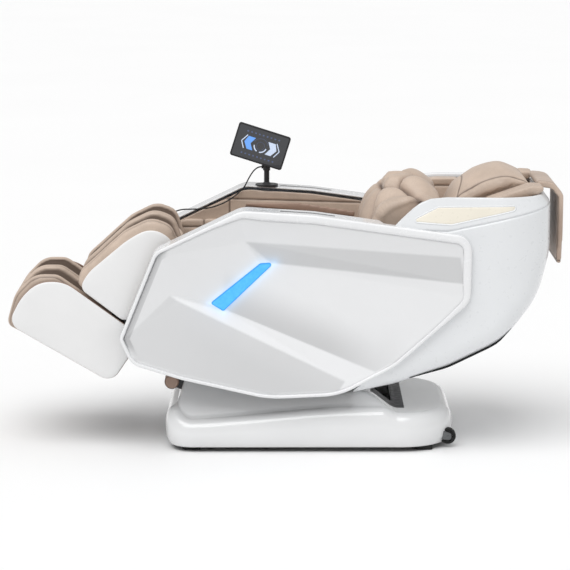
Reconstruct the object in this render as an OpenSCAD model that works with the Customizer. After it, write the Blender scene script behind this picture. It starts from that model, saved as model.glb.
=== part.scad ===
// Massage chair with tilting body, reclining back, lifting calf unit and sliding foot unit.
// X runs from the feet to the head, Y across the chair, Z up. The origin is on the floor below the middle.

/* [Widths] */
// Half width over the two side shells
side_y = 390; // [380:1:410]
// Half width of the rear shell
rear_y = 368; // [355:1:368]
// Half distance between the inner walls of the arms
arm_y = 277; // [277:1:280]
// Half width of the calf and foot units
leg_y = 240; // [225:1:240]
// Half width of the base plinth
base_y = 348; // [330:1:355]

/* [Thicknesses] */
// Wall of the moulded shells
wall = 6; // [4:0.5:7]
// Thickness of the flush side inlay
inlay_t = 3; // [2:0.5:4]

/* [Pivots] */
// Distance of the tilt pivot above the floor
tilt_z = 330; // [328:1:332]
// Recline pivot along the chair
recline_x = 60; // [58:1:62]
// Recline pivot above the floor
recline_z = 450; // [448:1:452]
// Calf pivot along the chair
calf_x = -400; // [-402:1:-398]
// Calf pivot above the floor
calf_z = 620; // [618:1:622]
// Diameter of the pivot shafts
shaft_d = 24; // [20:1:26]

/* [Back mechanism] */
// Slope of the back rails
back_angle = 21; // [20:0.5:22]
// Distance of each massage rail from the middle
rail_y = 125; // [115:1:130]
// Diameter of the massage rails
rail_d = 16; // [12:1:18]

/* [Tablet] */
// Width of the tablet
tablet_w = 200; // [180:1:210]
// Height of the tablet
tablet_h = 128; // [115:1:135]
// Roll of the tablet seen from the side of the chair
tablet_roll = 17.7; // [0:0.1:25]

/* [Hidden] */
$fn = 48;

// Radial play of a running shaft in its bore
play = 0.05;
// Steps in each rounded corner of an outline
arc_steps = 6;

shell_white = [0.95, 0.95, 0.95];
leather_beige = [0.72, 0.62, 0.54];
leather_brown = [0.45, 0.33, 0.28];
steel_grey = [0.55, 0.56, 0.58];
dark_plastic = [0.12, 0.12, 0.13];

// ---- outline helpers ----

function unit(v) = v / norm(v);

// Arc of radius r between the arms u and v of the corner b
function corner_arc(b, u, v, r) =
    let (
        half = acos(u * v) / 2,
        c = b + unit(u + v) * r / sin(half),
        s = unit(b + u * r / tan(half) - c),
        e = unit(b + v * r / tan(half) - c),
        sweep = 180 - 2 * half
    )
    [for (i = [0 : arc_steps])
        let (t = i / arc_steps)
        c + r * (sin((1 - t) * sweep) * s + sin(t * sweep) * e) / sin(sweep)];

// Closed outline from corners [x, z, radius]
function rounded(p) = [
    for (i = [0 : len(p) - 1])
        let (
            n = len(p),
            b = [p[i][0], p[i][1]],
            a = [p[(i + n - 1) % n][0], p[(i + n - 1) % n][1]],
            c = [p[(i + 1) % n][0], p[(i + 1) % n][1]]
        )
        each (p[i][2] > 0 ? corner_arc(b, unit(a - b), unit(c - b), p[i][2]) : [b])
];

// Points of an arc about [x, z], from angle a0 to a1
function arc_points(x, z, r, a0, a1, n = 16) =
    [for (i = [0 : n]) let (a = a0 + (a1 - a0) * i / n) [x + r * cos(a), z + r * sin(a)]];

// A side profile in X and Z, solid from y0 to y1
module side_slab(points, y0, y1) {
    translate([0, y1, 0]) rotate([90, 0, 0]) linear_extrude(y1 - y0) polygon(points);
}

// The same with 2-D children instead of points
module side_solid(y0, y1) {
    translate([0, y1, 0]) rotate([90, 0, 0]) linear_extrude(y1 - y0) children();
}

// A round bar across the chair at [x, z]
module cross_bar(x, z, d, y0, y1) {
    translate([x, y1, z]) rotate([90, 0, 0]) cylinder(d = d, h = y1 - y0);
}

// A box between two corners
module block(lo, hi) {
    translate(lo) cube(hi - lo);
}

module both_sides() {
    children();
    mirror([0, 1, 0]) children();
}

// ---- base ----

base_front = -425;
base_rear = 600;
plinth_bottom = 26;
deck_z = 138;
// The hump rises in front of the low rear deck: its edges at the top, and half width there
hump_front = [-352, 252];
hump_rear = [300, 203];
hump_top_y = 243;

// Plan of the plinth, drawn in by an inset
module plinth_plan(inset) {
    front_r = 60;
    rear_r = 150;
    hull() both_sides() {
        translate([base_front + inset + front_r, base_y - inset - front_r]) circle(r = front_r, $fn = 32);
        translate([base_rear - inset - rear_r, base_y - inset - rear_r]) circle(r = rear_r, $fn = 32);
    }
}

module plinth(grow, low) {
    hull() {
        translate([0, 0, low]) linear_extrude(1) plinth_plan(14 - grow);
        translate([0, 0, 50]) linear_extrude(36) plinth_plan(-grow);
        translate([0, 0, 112]) linear_extrude(1) plinth_plan(10 - grow);
        translate([0, 0, deck_z + grow - 1]) linear_extrude(1) plinth_plan(42 - grow);
    }
}

module hump(grow) {
    hull() {
        translate([0, 0, 104]) linear_extrude(1)
            translate([base_front + 28 - grow, -(330 + grow)])
                square([400 - base_front + 2 * grow, 660 + 2 * grow]);
        for (p = [hump_front, hump_rear])
            both_sides()
                translate([p[0], hump_top_y + grow - 12, p[1] + grow - 12]) rotate([0, 90, 0])
                    cylinder(r = 12, h = 1, $fn = 32);
    }
}

module base_cover() {
    color(shell_white) difference() {
        union() {
            plinth(0, plinth_bottom);
            hump(0);
        }
        plinth(-wall, plinth_bottom - 1);
        hump(-wall);
        // slots for the pivot posts, the tilt actuator and the rear cable way
        both_sides() block([-50, 176, 150], [50, 212, 300]);
        block([130, -48, 150], [290, 48, 300]);
        block([310, -140, 142], [380, 140, 240]);
        // notches for the arms of the front bracket
        both_sides() block([-420, 199, 190], [-345, 213, 260]);
        // windows for the transport wheels
        both_sides() block([545, 228, 0], [620, 274, 78]);
        // window for the inlet and the switch
        block([590, -55, 40], [610, 55, 84]);
    }
}

stand_y = 184;
stand_t = 10;

module base_frame() {
    rail_in = 300;
    tube = 34;
    color(steel_grey) difference() {
        union() {
            both_sides() block([-375, rail_in - tube, 36], [520, rail_in, 36 + tube]);
            for (x = [-375, -20, 486])
                block([x, -rail_in + tube, 36], [x + tube, rail_in - tube, 36 + tube]);
            // stands of the tilt shaft
            both_sides() side_slab(rounded([
                [-60, 36, 0], [60, 36, 0], [28, tilt_z + 10, 24], [-28, tilt_z + 10, 24]
            ]), stand_y, stand_y + stand_t);
            both_sides() block([-60, stand_y + stand_t, 36], [60, rail_in - tube, 48]);
            // lugs of the tilt actuator
            both_sides() block([205, 26, 70], [255, 34, 150]);
            block([205, -34, 36], [255, 34, 70]);
            block([14, -20, 36], [205, 20, 60]);
        }
        cross_bar(0, tilt_z, shaft_d, -300, 300);
    }
    color(steel_grey) cross_bar(tilt_foot[0], tilt_foot[1], pin_d, -30, 30);
}

module pivot_shaft() {
    color(steel_grey) cross_bar(0, tilt_z, shaft_d, -seat_plate_y[1] - 2, seat_plate_y[1] + 2);
}

module foot_pads() {
    color(dark_plastic) for (x = [-332, 490]) both_sides()
        translate([x, 283, 0]) linear_extrude(36) hull() for (s = [-1, 1])
            translate([s * 18, 0]) circle(r = 15);
}

wheel_x = 578;
wheel_y = 251;
wheel_r = 29;
wheel_w = 26;

module wheel_brackets() {
    color(steel_grey) both_sides() {
        for (y = [wheel_y - wheel_w / 2 - 6, wheel_y + wheel_w / 2 + 2])
            side_slab(rounded([[520, 36, 0], [wheel_x + 12, 28, 10], [wheel_x + 12, 52, 10], [540, 70, 0],
                [520, 70, 0]]), y, y + 4);
        cross_bar(wheel_x, 41, 8, wheel_y - wheel_w / 2 - 8, wheel_y + wheel_w / 2 + 8);
    }
}

module transport_wheel(y) {
    color(dark_plastic) translate([wheel_x, y, 41]) rotate([90, 0, 0]) difference() {
        rotate_extrude() polygon([
            [4 + play, -13], [14, -13], [14, -9], [22, -9], [24, -12], [27, -12], [wheel_r, -9],
            [wheel_r, 9], [27, 12], [24, 12], [22, 9], [14, 9], [14, 13], [4 + play, 13]
        ]);
        for (a = [0 : 60 : 300]) rotate([0, 0, a]) translate([18, 0, -20]) cylinder(d = 5, h = 40);
    }
}

module left_wheel() transport_wheel(-wheel_y);
module right_wheel() transport_wheel(wheel_y);

module control_box() {
    color(dark_plastic) difference() {
        block([-300, -130, 72], [-90, 130, 142]);
        for (i = [0 : 5]) block([-285 + i * 32, -131, 92], [-270 + i * 32, -126, 122]);
    }
}

module power_inlet() {
    color(dark_plastic) difference() {
        union() {
            block([576, -50, 44], [594, 50, 80]);
            block([594, -54, 41], [597, 54, 83]);
        }
        // socket recess and switch recess
        block([580, -42, 50], [600, -8, 74]);
        block([580, 8.5, 51.5], [600, 40.5, 72.5]);
        cross_bar(587, 62, 3, 4, 44);
    }
    color(steel_grey) for (y = [-33, -25, -17]) block([579.9, y - 1, 58], [592, y + 1, 66]);
    color(dark_plastic) cross_bar(587, 62, 3, 4, 44);
}

module power_switch() {
    color("black") difference() {
        side_slab([[583, 54], [593, 53], [599, 54.5], [596.5, 62], [599, 69.5], [593, 71], [583, 70]], 9, 40);
        cross_bar(587, 62, 3 + 2 * play, 8, 41);
    }
}

module front_bracket() {
    color(dark_plastic) both_sides() side_slab(rounded([
        [-412, 216, 6], [-356, 196, 0], [-348, 246, 0], [-400, 252, 10]
    ]), 200, 212);
    color(dark_plastic) cross_bar(-402, 232, 14, -212, 212);
}

module front_roll() {
    color(leather_brown) translate([-402, 0, 232]) rotate([90, 0, 0]) difference() {
        union() {
            translate([0, 0, -198]) cylinder(r = 26, h = 396);
            both_ends() translate([0, 0, 214]) cylinder(r = 24, h = 24);
        }
        translate([0, 0, -260]) cylinder(d = 14, h = 520);
    }
}

module both_ends() {
    children();
    mirror([0, 0, 1]) children();
}

// ---- actuators ----

pin_d = 12;
tilt_foot = [230, 130];
tilt_head = [140, 440];
recline_foot = [-190, 440];
recline_head = [recline_x + 160 * cos(-45), recline_z + 160 * sin(-45)];
leg_foot = [-130, 440];
leg_head = [-420, 510];
motor_tube_d = 38;
rod_d = 18;

// Bring local X onto the line from a to b in the side view, at a given Y
module along(a, b, y) {
    d = b - a;
    translate([a[0], y, a[1]]) rotate([0, -atan2(d[1], d[0]), 0]) children();
}

// Tube, gear motor and foot eye of a linear actuator that is long when closed
module actuator_tube(long, bore = pin_d + 2 * play) {
    tube_len = long - 140;
    color(dark_plastic) difference() {
        union() {
            rotate([90, 0, 0]) translate([0, 0, -12]) cylinder(d = 30, h = 24);
            translate([8, -12, -12]) cube([40, 24, 24]);
            translate([30, 0, 0]) rotate([0, 90, 0]) cylinder(d = motor_tube_d, h = tube_len - 8);
        }
        rotate([90, 0, 0]) translate([0, 0, -20]) cylinder(d = bore, h = 40);
        translate([50, 0, 0]) rotate([0, 90, 0]) cylinder(d = rod_d + 2 * play, h = long);
    }
}

// Rod with an eye that leaves clearance round its pin
module actuator_rod(long, eye) {
    color(steel_grey) difference() {
        union() {
            translate([86, 0, 0]) rotate([0, 90, 0]) cylinder(d = rod_d, h = long - 86 - eye / 2);
            translate([long, 0, 0]) rotate([90, 0, 0]) translate([0, 0, -8]) cylinder(d = eye + 12, h = 16);
        }
        translate([long, 0, 0]) rotate([90, 0, 0]) translate([0, 0, -9]) cylinder(d = eye, h = 18);
    }
}

tilt_len = norm(tilt_head - tilt_foot);
recline_len = norm(recline_head - recline_foot);
leg_len = norm(leg_head - leg_foot);
recline_motor_y = 60;
leg_motor_y = -60;
tilt_eye = 16;
recline_eye = 24;
leg_eye = 30;

module tilt_motor() along(tilt_foot, tilt_head, 0) actuator_tube(tilt_len);
module tilt_rod() along(tilt_foot, tilt_head, 0) actuator_rod(tilt_len, tilt_eye);
module recline_motor() along(recline_foot, recline_head, recline_motor_y) actuator_tube(recline_len);
module recline_rod()
    along(recline_foot, recline_head, recline_motor_y) actuator_rod(recline_len, recline_eye);
module leg_motor() along(leg_foot, leg_head, leg_motor_y) actuator_tube(leg_len);
module leg_rod() along(leg_foot, leg_head, leg_motor_y) actuator_rod(leg_len, leg_eye);

// ---- seat body ----

seat_plate_y = [243, 251];
back_plate_y = [254, 260];
panel_y = 266;
side_outline = rounded([
    [-577, 416, 30], [-452, 722, 55], [-150, 867, 90], [100, 851, 400], [345, 817, 400], [648, 775, 60],
    [645, 548, 70], [385, 318, 200], [190, 214, 260], [-60, 203, 400], [-360, 271, 400], [-535, 325, 70]
]);

// Inlay corners [x, z, depth below the outer face]: the rim first, then the facets inside it
rim_depth = 4;
inlay_rim = [
    [-556, 418], [-438, 706], [-154, 846], [98, 832], [345, 798], [600, 763], [627, 735], [627, 560],
    [378, 334], [188, 233], [-58, 222], [-355, 290], [-522, 342]
];
inlay_points = concat(
    [for (p = inlay_rim) [p[0], p[1], rim_depth]],
    [
        [-138, 758, 16], [560, 698, 7],                     // 13, 14 upper band
        [-50, 681, 33], [596, 612, 8],                      // 15, 16 top edge of the pocket
        [-84, 684, 17], [-253, 544, 16], [-208, 515, 31],   // 17, 18, 19 light strip, with 15
        [-399, 570, 8], [-371, 550, 5],                     // 20, 21 tip of the ridge
        [314, 297, 8], [209, 266, 5]                        // 22, 23 rear end of the ridge
    ]
);
inlay_faces = [
    [1, 2, 13], [2, 3, 13], [3, 14, 13], [3, 4, 14], [4, 5, 14], [5, 6, 14], [6, 16, 14], [6, 7, 16],
    [13, 15, 17], [13, 16, 15], [13, 14, 16], [1, 13, 17], [1, 17, 18], [1, 18, 20], [1, 20, 0],
    [20, 18, 19], [17, 19, 18], [17, 15, 19], [15, 22, 19], [15, 8, 22], [15, 7, 8], [15, 16, 7],
    [20, 19, 21], [19, 23, 21], [19, 22, 23], [22, 9, 23], [22, 8, 9], [20, 21, 0], [21, 12, 0],
    [21, 11, 12], [21, 10, 11], [21, 23, 10], [23, 9, 10]
];
strip_corners = [17, 15, 19, 18];

// Point of the inlay on the near side, moved inwards by t
function inlay_at(i, t) = [inlay_points[i][0], -(side_y - inlay_points[i][2] - t), inlay_points[i][1]];

module near_inlay() {
    n = len(inlay_points);
    m = len(inlay_rim);
    polyhedron(
        points = [for (t = [0, inlay_t], i = [0 : n - 1]) inlay_at(i, t)],
        faces = concat(
            inlay_faces,
            [for (f = inlay_faces) [f[2] + n, f[1] + n, f[0] + n]],
            [for (i = [0 : m - 1]) let (j = (i + 1) % m) [j, i, i + n, j + n]]
        )
    );
}

module left_inlay() color("white") near_inlay();
module right_inlay() color("white") mirror([0, 1, 0]) near_inlay();

// Lit strip: a thin lens lying on its facet at the deep end of the pocket
module light_strips() {
    lens = 2;
    color("deepskyblue") both_sides() polyhedron(
        points = [for (t = [0, -lens], i = strip_corners) inlay_at(i, t)],
        faces = [[3, 2, 0], [2, 1, 0], [4, 5, 6], [4, 6, 7], [0, 1, 5, 4], [1, 2, 6, 5], [2, 3, 7, 6],
            [3, 0, 4, 7]]
    );
}

// Where the arm box may be: clear of the arcs that the wide rear shell sweeps
arm_zone = [
    [-640, 400], [-640, 900], [345, 900], [345, 806], [250, 675], [285, 560], [270, 505], [-300, 480],
    [-470, 395]
];
trim_x = [-17, 173];
trim_y = [318, 342];

module trim_band(depth) {
    intersection() {
        difference() {
            polygon(side_outline);
            offset(delta = -depth) polygon(side_outline);
        }
        translate([trim_x[0], 780]) square([trim_x[1] - trim_x[0], 120]);
    }
}

module side_shell() {
    rim_y = side_y - 18;
    difference() {
        union() {
            // outer rim round the inlay
            side_solid(rim_y, side_y) difference() {
                polygon(side_outline);
                polygon(inlay_rim);
            }
            // edge flange all round, and the roof and front of the arm
            side_solid(rim_y - 28, rim_y) intersection() {
                difference() {
                    polygon(side_outline);
                    offset(delta = -wall) polygon(side_outline);
                }
                polygon([[-700, 0], [-700, 900], [345, 900], [345, 500], [100, 0]]);
            }
            side_solid(arm_y + wall, rim_y - 28) intersection() {
                difference() {
                    polygon(side_outline);
                    offset(delta = -wall) polygon(side_outline);
                }
                polygon(arm_zone);
            }
            // inner wall of the arm
            side_solid(arm_y, arm_y + wall) intersection() {
                polygon(side_outline);
                polygon(arm_zone);
            }
        }
        side_solid(trim_y[0], trim_y[1]) trim_band(3);
    }
}

module left_side_shell() color(shell_white) mirror([0, 1, 0]) side_shell();
module right_side_shell() color(shell_white) side_shell();

module arm_trims() {
    color(dark_plastic) both_sides() side_solid(trim_y[0], trim_y[1]) trim_band(3);
}

// Leather board on the inside of each arm, with a roll over the front slope
module arm_panels() {
    color(leather_beige) difference() {
        arm_panel_pair();
        translate([post_x, post_y, 850]) cylinder(d = 85, h = 60);
    }
}

module arm_panel_pair() {
    both_sides() {
        side_solid(panel_y, arm_y) difference() {
            polygon(rounded([
                [-545, 470, 20], [-446, 738, 50], [-165, 872, 60], [100, 848, 100], [338, 812, 4],
                [246, 675, 10], [278, 560, 10], [262, 512, 10], [-300, 490, 30]
            ]));
            translate(seat_bars[0]) circle(d = 20);
            translate(seat_stay) circle(d = 20);
            translate(grommet) circle(d = 14);
        }
        side_solid(arm_y, arm_y + 46) difference() {
            polygon(rounded([
                [-478, 690, 0], [-436, 746, 25], [-215, 862, 40], [-150, 872, 0], [-170, 840, 0],
                [-440, 700, 0]
            ]));
            polygon(side_outline);
        }
    }
}

// Brown folded air bags that hang below the roll of each arm
module arm_airbags() {
    color(leather_brown) both_sides() side_slab(rounded([
        [-150, 715, 10], [-150, 800, 10], [60, 800, 60], [262, 770, 8], [246, 722, 8], [60, 700, 60]
    ]), panel_y - 5, panel_y);
}

module knee_pads() {
    color(leather_beige) both_sides() side_slab(rounded([
        [-405, 668, 15], [-392, 742, 25], [-210, 742, 30], [-175, 640, 30], [-330, 655, 20]
    ]), seat_plate_y[1] + 1, panel_y);
}

cushion_front = -318;
cushion_y = 241;
// Underside of the cushion at x
function cushion_low(x) = 606 - 0.265 * (x - cushion_front);

module seat_cushion() {
    color(leather_beige) side_slab(rounded([
        [cushion_front, cushion_low(cushion_front), 15], [cushion_front, 699, 40], [-60, 622, 200],
        [150, 562, 30], [150, cushion_low(150), 12]
    ]), -cushion_y, cushion_y);
}

module seat_pan() {
    pan = 10;
    front = cushion_front + 2;
    color(dark_plastic) side_slab([
        [front, cushion_low(front)], [140, cushion_low(140)], [140, cushion_low(140) - pan],
        [front, cushion_low(front) - pan]
    ], -cushion_y, cushion_y);
}

// Tubes across the seat frame [x, z]
seat_bars = [[-270, 556], [-150, 510], [108, 460]];
seat_stay = [-10, 505];
bar_d = 34;

// A plate in the side view between two bosses
module link_plate(a, b, r, y0, y1) {
    side_solid(y0, y1) hull() {
        translate(a) circle(r = r);
        translate(b) circle(r = r);
    }
}

// Two lug plates with a pin between them, round an actuator eye at a given Y
module fork(from, to, y) {
    for (s = [-1, 1]) link_plate(from, to, 15, y + s * 17 - 4, y + s * 17 + 4);
    cross_bar(to[0], to[1], pin_d, y - 20, y + 20);
}

module seat_plate() {
    polygon(rounded([
        [-424, 620, 20], [-400, 646, 20], [-330, 640, 0], [118, 521, 20], [134, 470, 20],
        [88, 430, 0], [30, 330, 0], [0, 300, 12], [-30, 330, 0], [-44, 430, 30], [-150, 482, 30],
        [-400, 592, 20]
    ]));
}

module seat_frame() {
    color(steel_grey) difference() {
        union() {
            both_sides() {
                side_solid(seat_plate_y[0], seat_plate_y[1]) seat_plate();
                // stubs of the recline and calf pivots
                cross_bar(recline_x, recline_z, shaft_d, seat_plate_y[0], back_plate_y[1] + 2);
                cross_bar(calf_x, calf_z, shaft_d, calf_lug_y, seat_plate_y[1]);
                // stays that carry the arms
                cross_bar(seat_bars[0][0], seat_bars[0][1], 20, seat_plate_y[1], arm_y);
                cross_bar(seat_stay[0], seat_stay[1], 20, seat_plate_y[1], arm_y);
            }
            for (b = seat_bars) cross_bar(b[0], b[1], bar_d, -seat_plate_y[0], seat_plate_y[0]);
            fork(seat_bars[2], tilt_head, 0);
            fork(seat_bars[1], recline_foot, recline_motor_y);
            fork(seat_bars[1], leg_foot, leg_motor_y);
        }
        cross_bar(0, tilt_z, shaft_d + 2 * play, -300, 300);
    }
}

module air_pump() {
    color(dark_plastic) {
        difference() {
            block([-110, 100, 400], [20, 200, 468]);
            for (i = [0 : 4]) block([-98 + 24 * i, 99, 412], [-88 + 24 * i, 104, 456]);
        }
        block([-90, 200, 446], [0, seat_plate_y[0], 452]);
    }
    color(steel_grey) for (z = [420, 448]) translate([20, 150, z]) rotate([0, 90, 0]) cylinder(d = 9, h = 18);
}

// ---- tablet ----

post_x = -68;
post_y = 300;
post_d = 20;
post_top = 946;
collar_d = 27;
swivel_pin = 10;
tablet_y = 276;
tablet_mid = [-91, 1013];
tablet_t = 10;
// Hinge in the tablet's own frame: along its width from this point, behind its back
hinge_at = [35, 16, -34];
hinge_len = 36;
hinge_pin = 6;

// Roof of the arm under the post
module arm_roof() {
    side_solid(200, side_y) polygon(side_outline);
}

module tablet_post() {
    color(dark_plastic) difference() {
        union() {
            translate([post_x, post_y, 852]) cylinder(d = 84, h = 17);
            translate([post_x, post_y, 868]) cylinder(d1 = 40, d2 = post_d, h = 9);
            translate([post_x, post_y, 868]) cylinder(d = post_d, h = post_top - 868);
            translate([post_x, post_y, post_top - 26]) cylinder(d = collar_d, h = 26);
            // socket of the cable
            translate([post_x - 19, post_y - 6, post_top - 19]) cube([12, 12, 12]);
            translate([post_x, post_y, post_top]) cylinder(d = swivel_pin, h = 12);
        }
        arm_roof();
    }
}

// The tablet's own frame: X along its width, Z up its height, Y through it
module tablet_frame() {
    translate([tablet_mid[0], tablet_y, tablet_mid[1]]) rotate([0, tablet_roll, 0]) children();
}

module hinge_bar(d, x0, x1) {
    tablet_frame() translate([hinge_at[0] + x0, hinge_at[1], hinge_at[2]]) rotate([0, 90, 0])
        cylinder(d = d, h = x1 - x0);
}

module tablet_head() {
    color(dark_plastic) difference() {
        union() {
            translate([post_x, post_y, post_top + 0.3]) cylinder(d = 30, h = 16);
            block([post_x - 9, post_y - 14, post_top + 9], [post_x + 9, post_y + 8, post_top + 24]);
            hinge_bar(16, -hinge_len / 2, hinge_len / 2);
        }
        translate([post_x, post_y, post_top - 1]) cylinder(d = swivel_pin + 2 * play, h = 13.5);
    }
    color(steel_grey) hinge_bar(hinge_pin, -hinge_len / 2 - 8, hinge_len / 2 + 8);
}

module tablet_plate(w, h, r, y0, y1) {
    translate([0, y1, 0]) rotate([90, 0, 0]) linear_extrude(y1 - y0) hull()
        for (x = [-1, 1], z = [-1, 1])
            translate([x * (w / 2 - r), z * (h / 2 - r)]) circle(r = r, $fn = 32);
}

module tablet_case() {
    screen_t = 2;
    color("black") difference() {
        union() {
            tablet_frame() tablet_plate(tablet_w, tablet_h, 9, -tablet_t / 2, tablet_t / 2);
            for (x = [-hinge_len / 2 - 8, hinge_len / 2 + 0.5]) {
                hinge_bar(14, x, x + 7.5);
                tablet_frame() translate([hinge_at[0] + x, tablet_t / 2 - 1, hinge_at[2] - 7])
                    cube([7.5, hinge_at[1] - tablet_t / 2 + 1, 14]);
            }
        }
        tablet_frame() tablet_plate(tablet_w - 12, tablet_h - 12, 5, -tablet_t, -tablet_t / 2 + screen_t);
        hinge_bar(hinge_pin + 2 * play, -60, 60);
    }
}

module tablet_screen() {
    color([0.05, 0.07, 0.12]) tablet_frame()
        tablet_plate(tablet_w - 12, tablet_h - 12, 5, -tablet_t / 2, -tablet_t / 2 + 2);
}

grommet = [-440, 728];
cable_d = 5;
// Route of the tablet's cable from the post's socket to the grommet in the arm
cable_route = [
    [-87, 300, 933], [-99, 298, 931], [-113, 292, 922], [-126, 283, 906], [-138, 272, 886],
    [-150, 262, 864], [-166, 257, 847], [-187, 254, 829], [-216, 252, 810], [-249, 251, 795],
    [-282, 250, 786], [-316, 250, 782], [-348, 250, 781], [-377, 250, 780], [-402, 250, 774],
    [-420, 251, 763], [-432, 253, 748], [-438, 256, 735], [-440, 260, 729], [-440, 264, 728]
];

module cable_grommet() {
    color(dark_plastic) translate([grommet[0], panel_y, grommet[1]]) rotate([90, 0, 0]) difference() {
        union() {
            cylinder(d = 20, h = 2);
            translate([0, 0, -8]) cylinder(d = 14, h = 9);
        }
        translate([0, 0, -20]) cylinder(d = cable_d, h = 30);
    }
}

// Direction of the route at point i
function route_dir(p, i) = unit(p[min(i + 1, len(p) - 1)] - p[max(i - 1, 0)]);

// Smooth curve through the points: four pieces between each pair
function curve_at(p, i, t) =
    let (
        a = p[max(i - 1, 0)],
        b = p[i],
        c = p[i + 1],
        d = p[min(i + 2, len(p) - 1)]
    )
    0.5 * (2 * b + (c - a) * t + (2 * a - 5 * b + 4 * c - d) * t * t + (3 * b - a - 3 * c + d) * t * t * t);

// A round tube along the points with n sides
module tube(p, d, n) {
    up = [0, 1, 0];
    rings = [for (i = [0 : len(p) - 1])
        let (t = route_dir(p, i), u = unit(cross(t, up)), v = cross(t, u))
        for (k = [0 : n - 1]) p[i] + d / 2 * (cos(360 * k / n) * u + sin(360 * k / n) * v)];
    last = (len(p) - 1) * n;
    polyhedron(
        points = rings,
        faces = concat(
            [[for (k = [0 : n - 1]) n - 1 - k]],
            [[for (k = [0 : n - 1]) last + k]],
            [for (i = [0 : len(p) - 2], k = [0 : n - 1])
                [i * n + k, i * n + (k + 1) % n, (i + 1) * n + (k + 1) % n, (i + 1) * n + k]]
        )
    );
}

module tablet_cable() {
    fine = concat(
        [for (i = [0 : len(cable_route) - 2], s = [0 : 1]) curve_at(cable_route, i, s / 2)],
        [cable_route[len(cable_route) - 1]]
    );
    color("black") tube(fine, cable_d, 8);
}

// ---- backrest ----

back_origin = [460, 650];
// A point of the side view in the back's own frame: X along the back, Z out of it
function in_back(p) =
    let (d = p - back_origin, c = cos(back_angle), s = sin(back_angle))
    [d[0] * c + d[1] * s, -d[0] * s + d[1] * c];
recline_local = in_back([recline_x, recline_z]);
low_bar = [recline_x + 200 * cos(-20), recline_z + 200 * sin(-20)];
low_bar_local = in_back(low_bar);
recline_head_local = in_back(recline_head);
shell_top = 906;
shell_rear = 956;
sweep_inner = 292;
sweep_outer = 478;
shell_curve = [
    [shell_rear, 700, 200], [890, 540, 300], [760, 395, 300], [575, 305, 300], [383, 242, 200], [240, 211.6, 0]
];
wing_outline = concat(
    arc_points(recline_x, recline_z, sweep_inner, -50, 0),
    arc_points(recline_x, recline_z, sweep_outer, 0, 48.5),
    rounded(concat(
        [[378, 813, 0], [440, 868, 40], [492, 899, 60], [560, 908, 80], [shell_rear, shell_top, 25]],
        shell_curve
    ))
);
// The space above and in front of the shell's bottom and rear
tub_outline = concat(
    [[-200, 1500], [shell_rear, 1500]],
    rounded(concat([[shell_rear, 1000, 0]], shell_curve)),
    [[-200, 118]]
);

module back_local() {
    translate([back_origin[0], 0, back_origin[1]]) rotate([0, -back_angle, 0]) children();
}

module rear_plan(inset) {
    half = rear_y - inset;
    corner = 225 - inset;
    rear = shell_rear - inset;
    translate([0, 0, 50]) linear_extrude(1000) polygon(rounded([
        [-100, -half, 0], [rear, -half, corner], [rear, half, corner], [-100, half, 0]
    ]));
}

window_outline = rounded([
    [436, 826, 3], [530, 876, 20], [800, 878, 3], [794, 864, 3], [575, 815, 20]
]);

module rear_shell() {
    color([0.93, 0.94, 0.94]) difference() {
        intersection() {
            side_slab(wing_outline, -rear_y, rear_y);
            rear_plan(0);
        }
        intersection() {
            side_solid(-rear_y + wall, rear_y - wall) offset(delta = -wall) polygon(tub_outline);
            rear_plan(wall);
        }
        both_sides() side_slab(window_outline, rear_y - 3, rear_y + 1);
    }
}

module wing_windows() {
    color([0.95, 0.92, 0.84]) both_sides() intersection() {
        side_slab(window_outline, rear_y - 3, rear_y);
        rear_plan(0);
    }
}

// Black strip under the shell
module shell_gasket() {
    color(dark_plastic) intersection() {
        side_solid(-rear_y + 20, rear_y - 20) intersection() {
            difference() {
                offset(delta = 5) polygon(tub_outline);
                polygon(tub_outline);
            }
            translate([440, 200]) square([360, 300]);
        }
        rear_plan(20);
    }
}

module wing_pads() {
    color(leather_beige) intersection() {
        both_sides() side_slab(rounded([
            [410, 824, 10], [462, 874, 30], [505, 903, 40], [640, 914, 60], [860, 902, 30], [880, 790, 40],
            [640, 700, 60], [520, 650, 20]
        ]), back_plate_y[1] + 3, rear_y - wall - 0.5);
        rear_plan(wall + 0.5);
    }
}

rail_z = -88;
rail_span = [-72, 380];
screw_d = 12;
back_bars = [[-82, rail_z], [390, rail_z]];
shell_stays = [[70, -80], [225, -80]];

module back_plate() {
    p = recline_local;
    polygon(rounded([
        [p[0] - 26, p[1] + 22, 22], [-230, -36, 20], [402, -36, 10], [402, -110, 10], [-230, -114, 40],
        [p[0] - 22, p[1] - 26, 22]
    ]));
}

module back_frame() {
    color(steel_grey) back_local() difference() {
        union() {
            both_sides() {
                side_solid(back_plate_y[0], back_plate_y[1]) back_plate();
                link_plate(recline_local, low_bar_local, 24, back_plate_y[0], back_plate_y[1]);
                link_plate(low_bar_local, [-225, -85], 20, back_plate_y[0], back_plate_y[1]);
                for (s = shell_stays) cross_bar(s[0], s[1], 16, back_plate_y[1], rear_y - wall);
            }
            cross_bar(low_bar_local[0], low_bar_local[1], 36, -back_plate_y[0], back_plate_y[0]);
            for (b = back_bars)
                block([b[0] - 10, -back_plate_y[0], b[1] - 18], [b[0] + 10, back_plate_y[0], b[1] + 18]);
            fork(low_bar_local, recline_head_local, recline_motor_y);
        }
        cross_bar(recline_local[0], recline_local[1], shaft_d + 2 * play, -300, 300);
    }
}

module massage_rails() {
    color("silver") back_local() {
        both_sides() translate([rail_span[0], rail_y, rail_z]) rotate([0, 90, 0])
            cylinder(d = rail_d, h = rail_span[1] - rail_span[0]);
        translate([rail_span[0], 0, rail_z]) rotate([0, 90, 0])
            cylinder(d = screw_d, h = rail_span[1] - rail_span[0]);
    }
}

carriage_x = 190;
knead_pivot = [carriage_x, -48];
knead_y = [40, 80];
knead_pin = 14;

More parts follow.
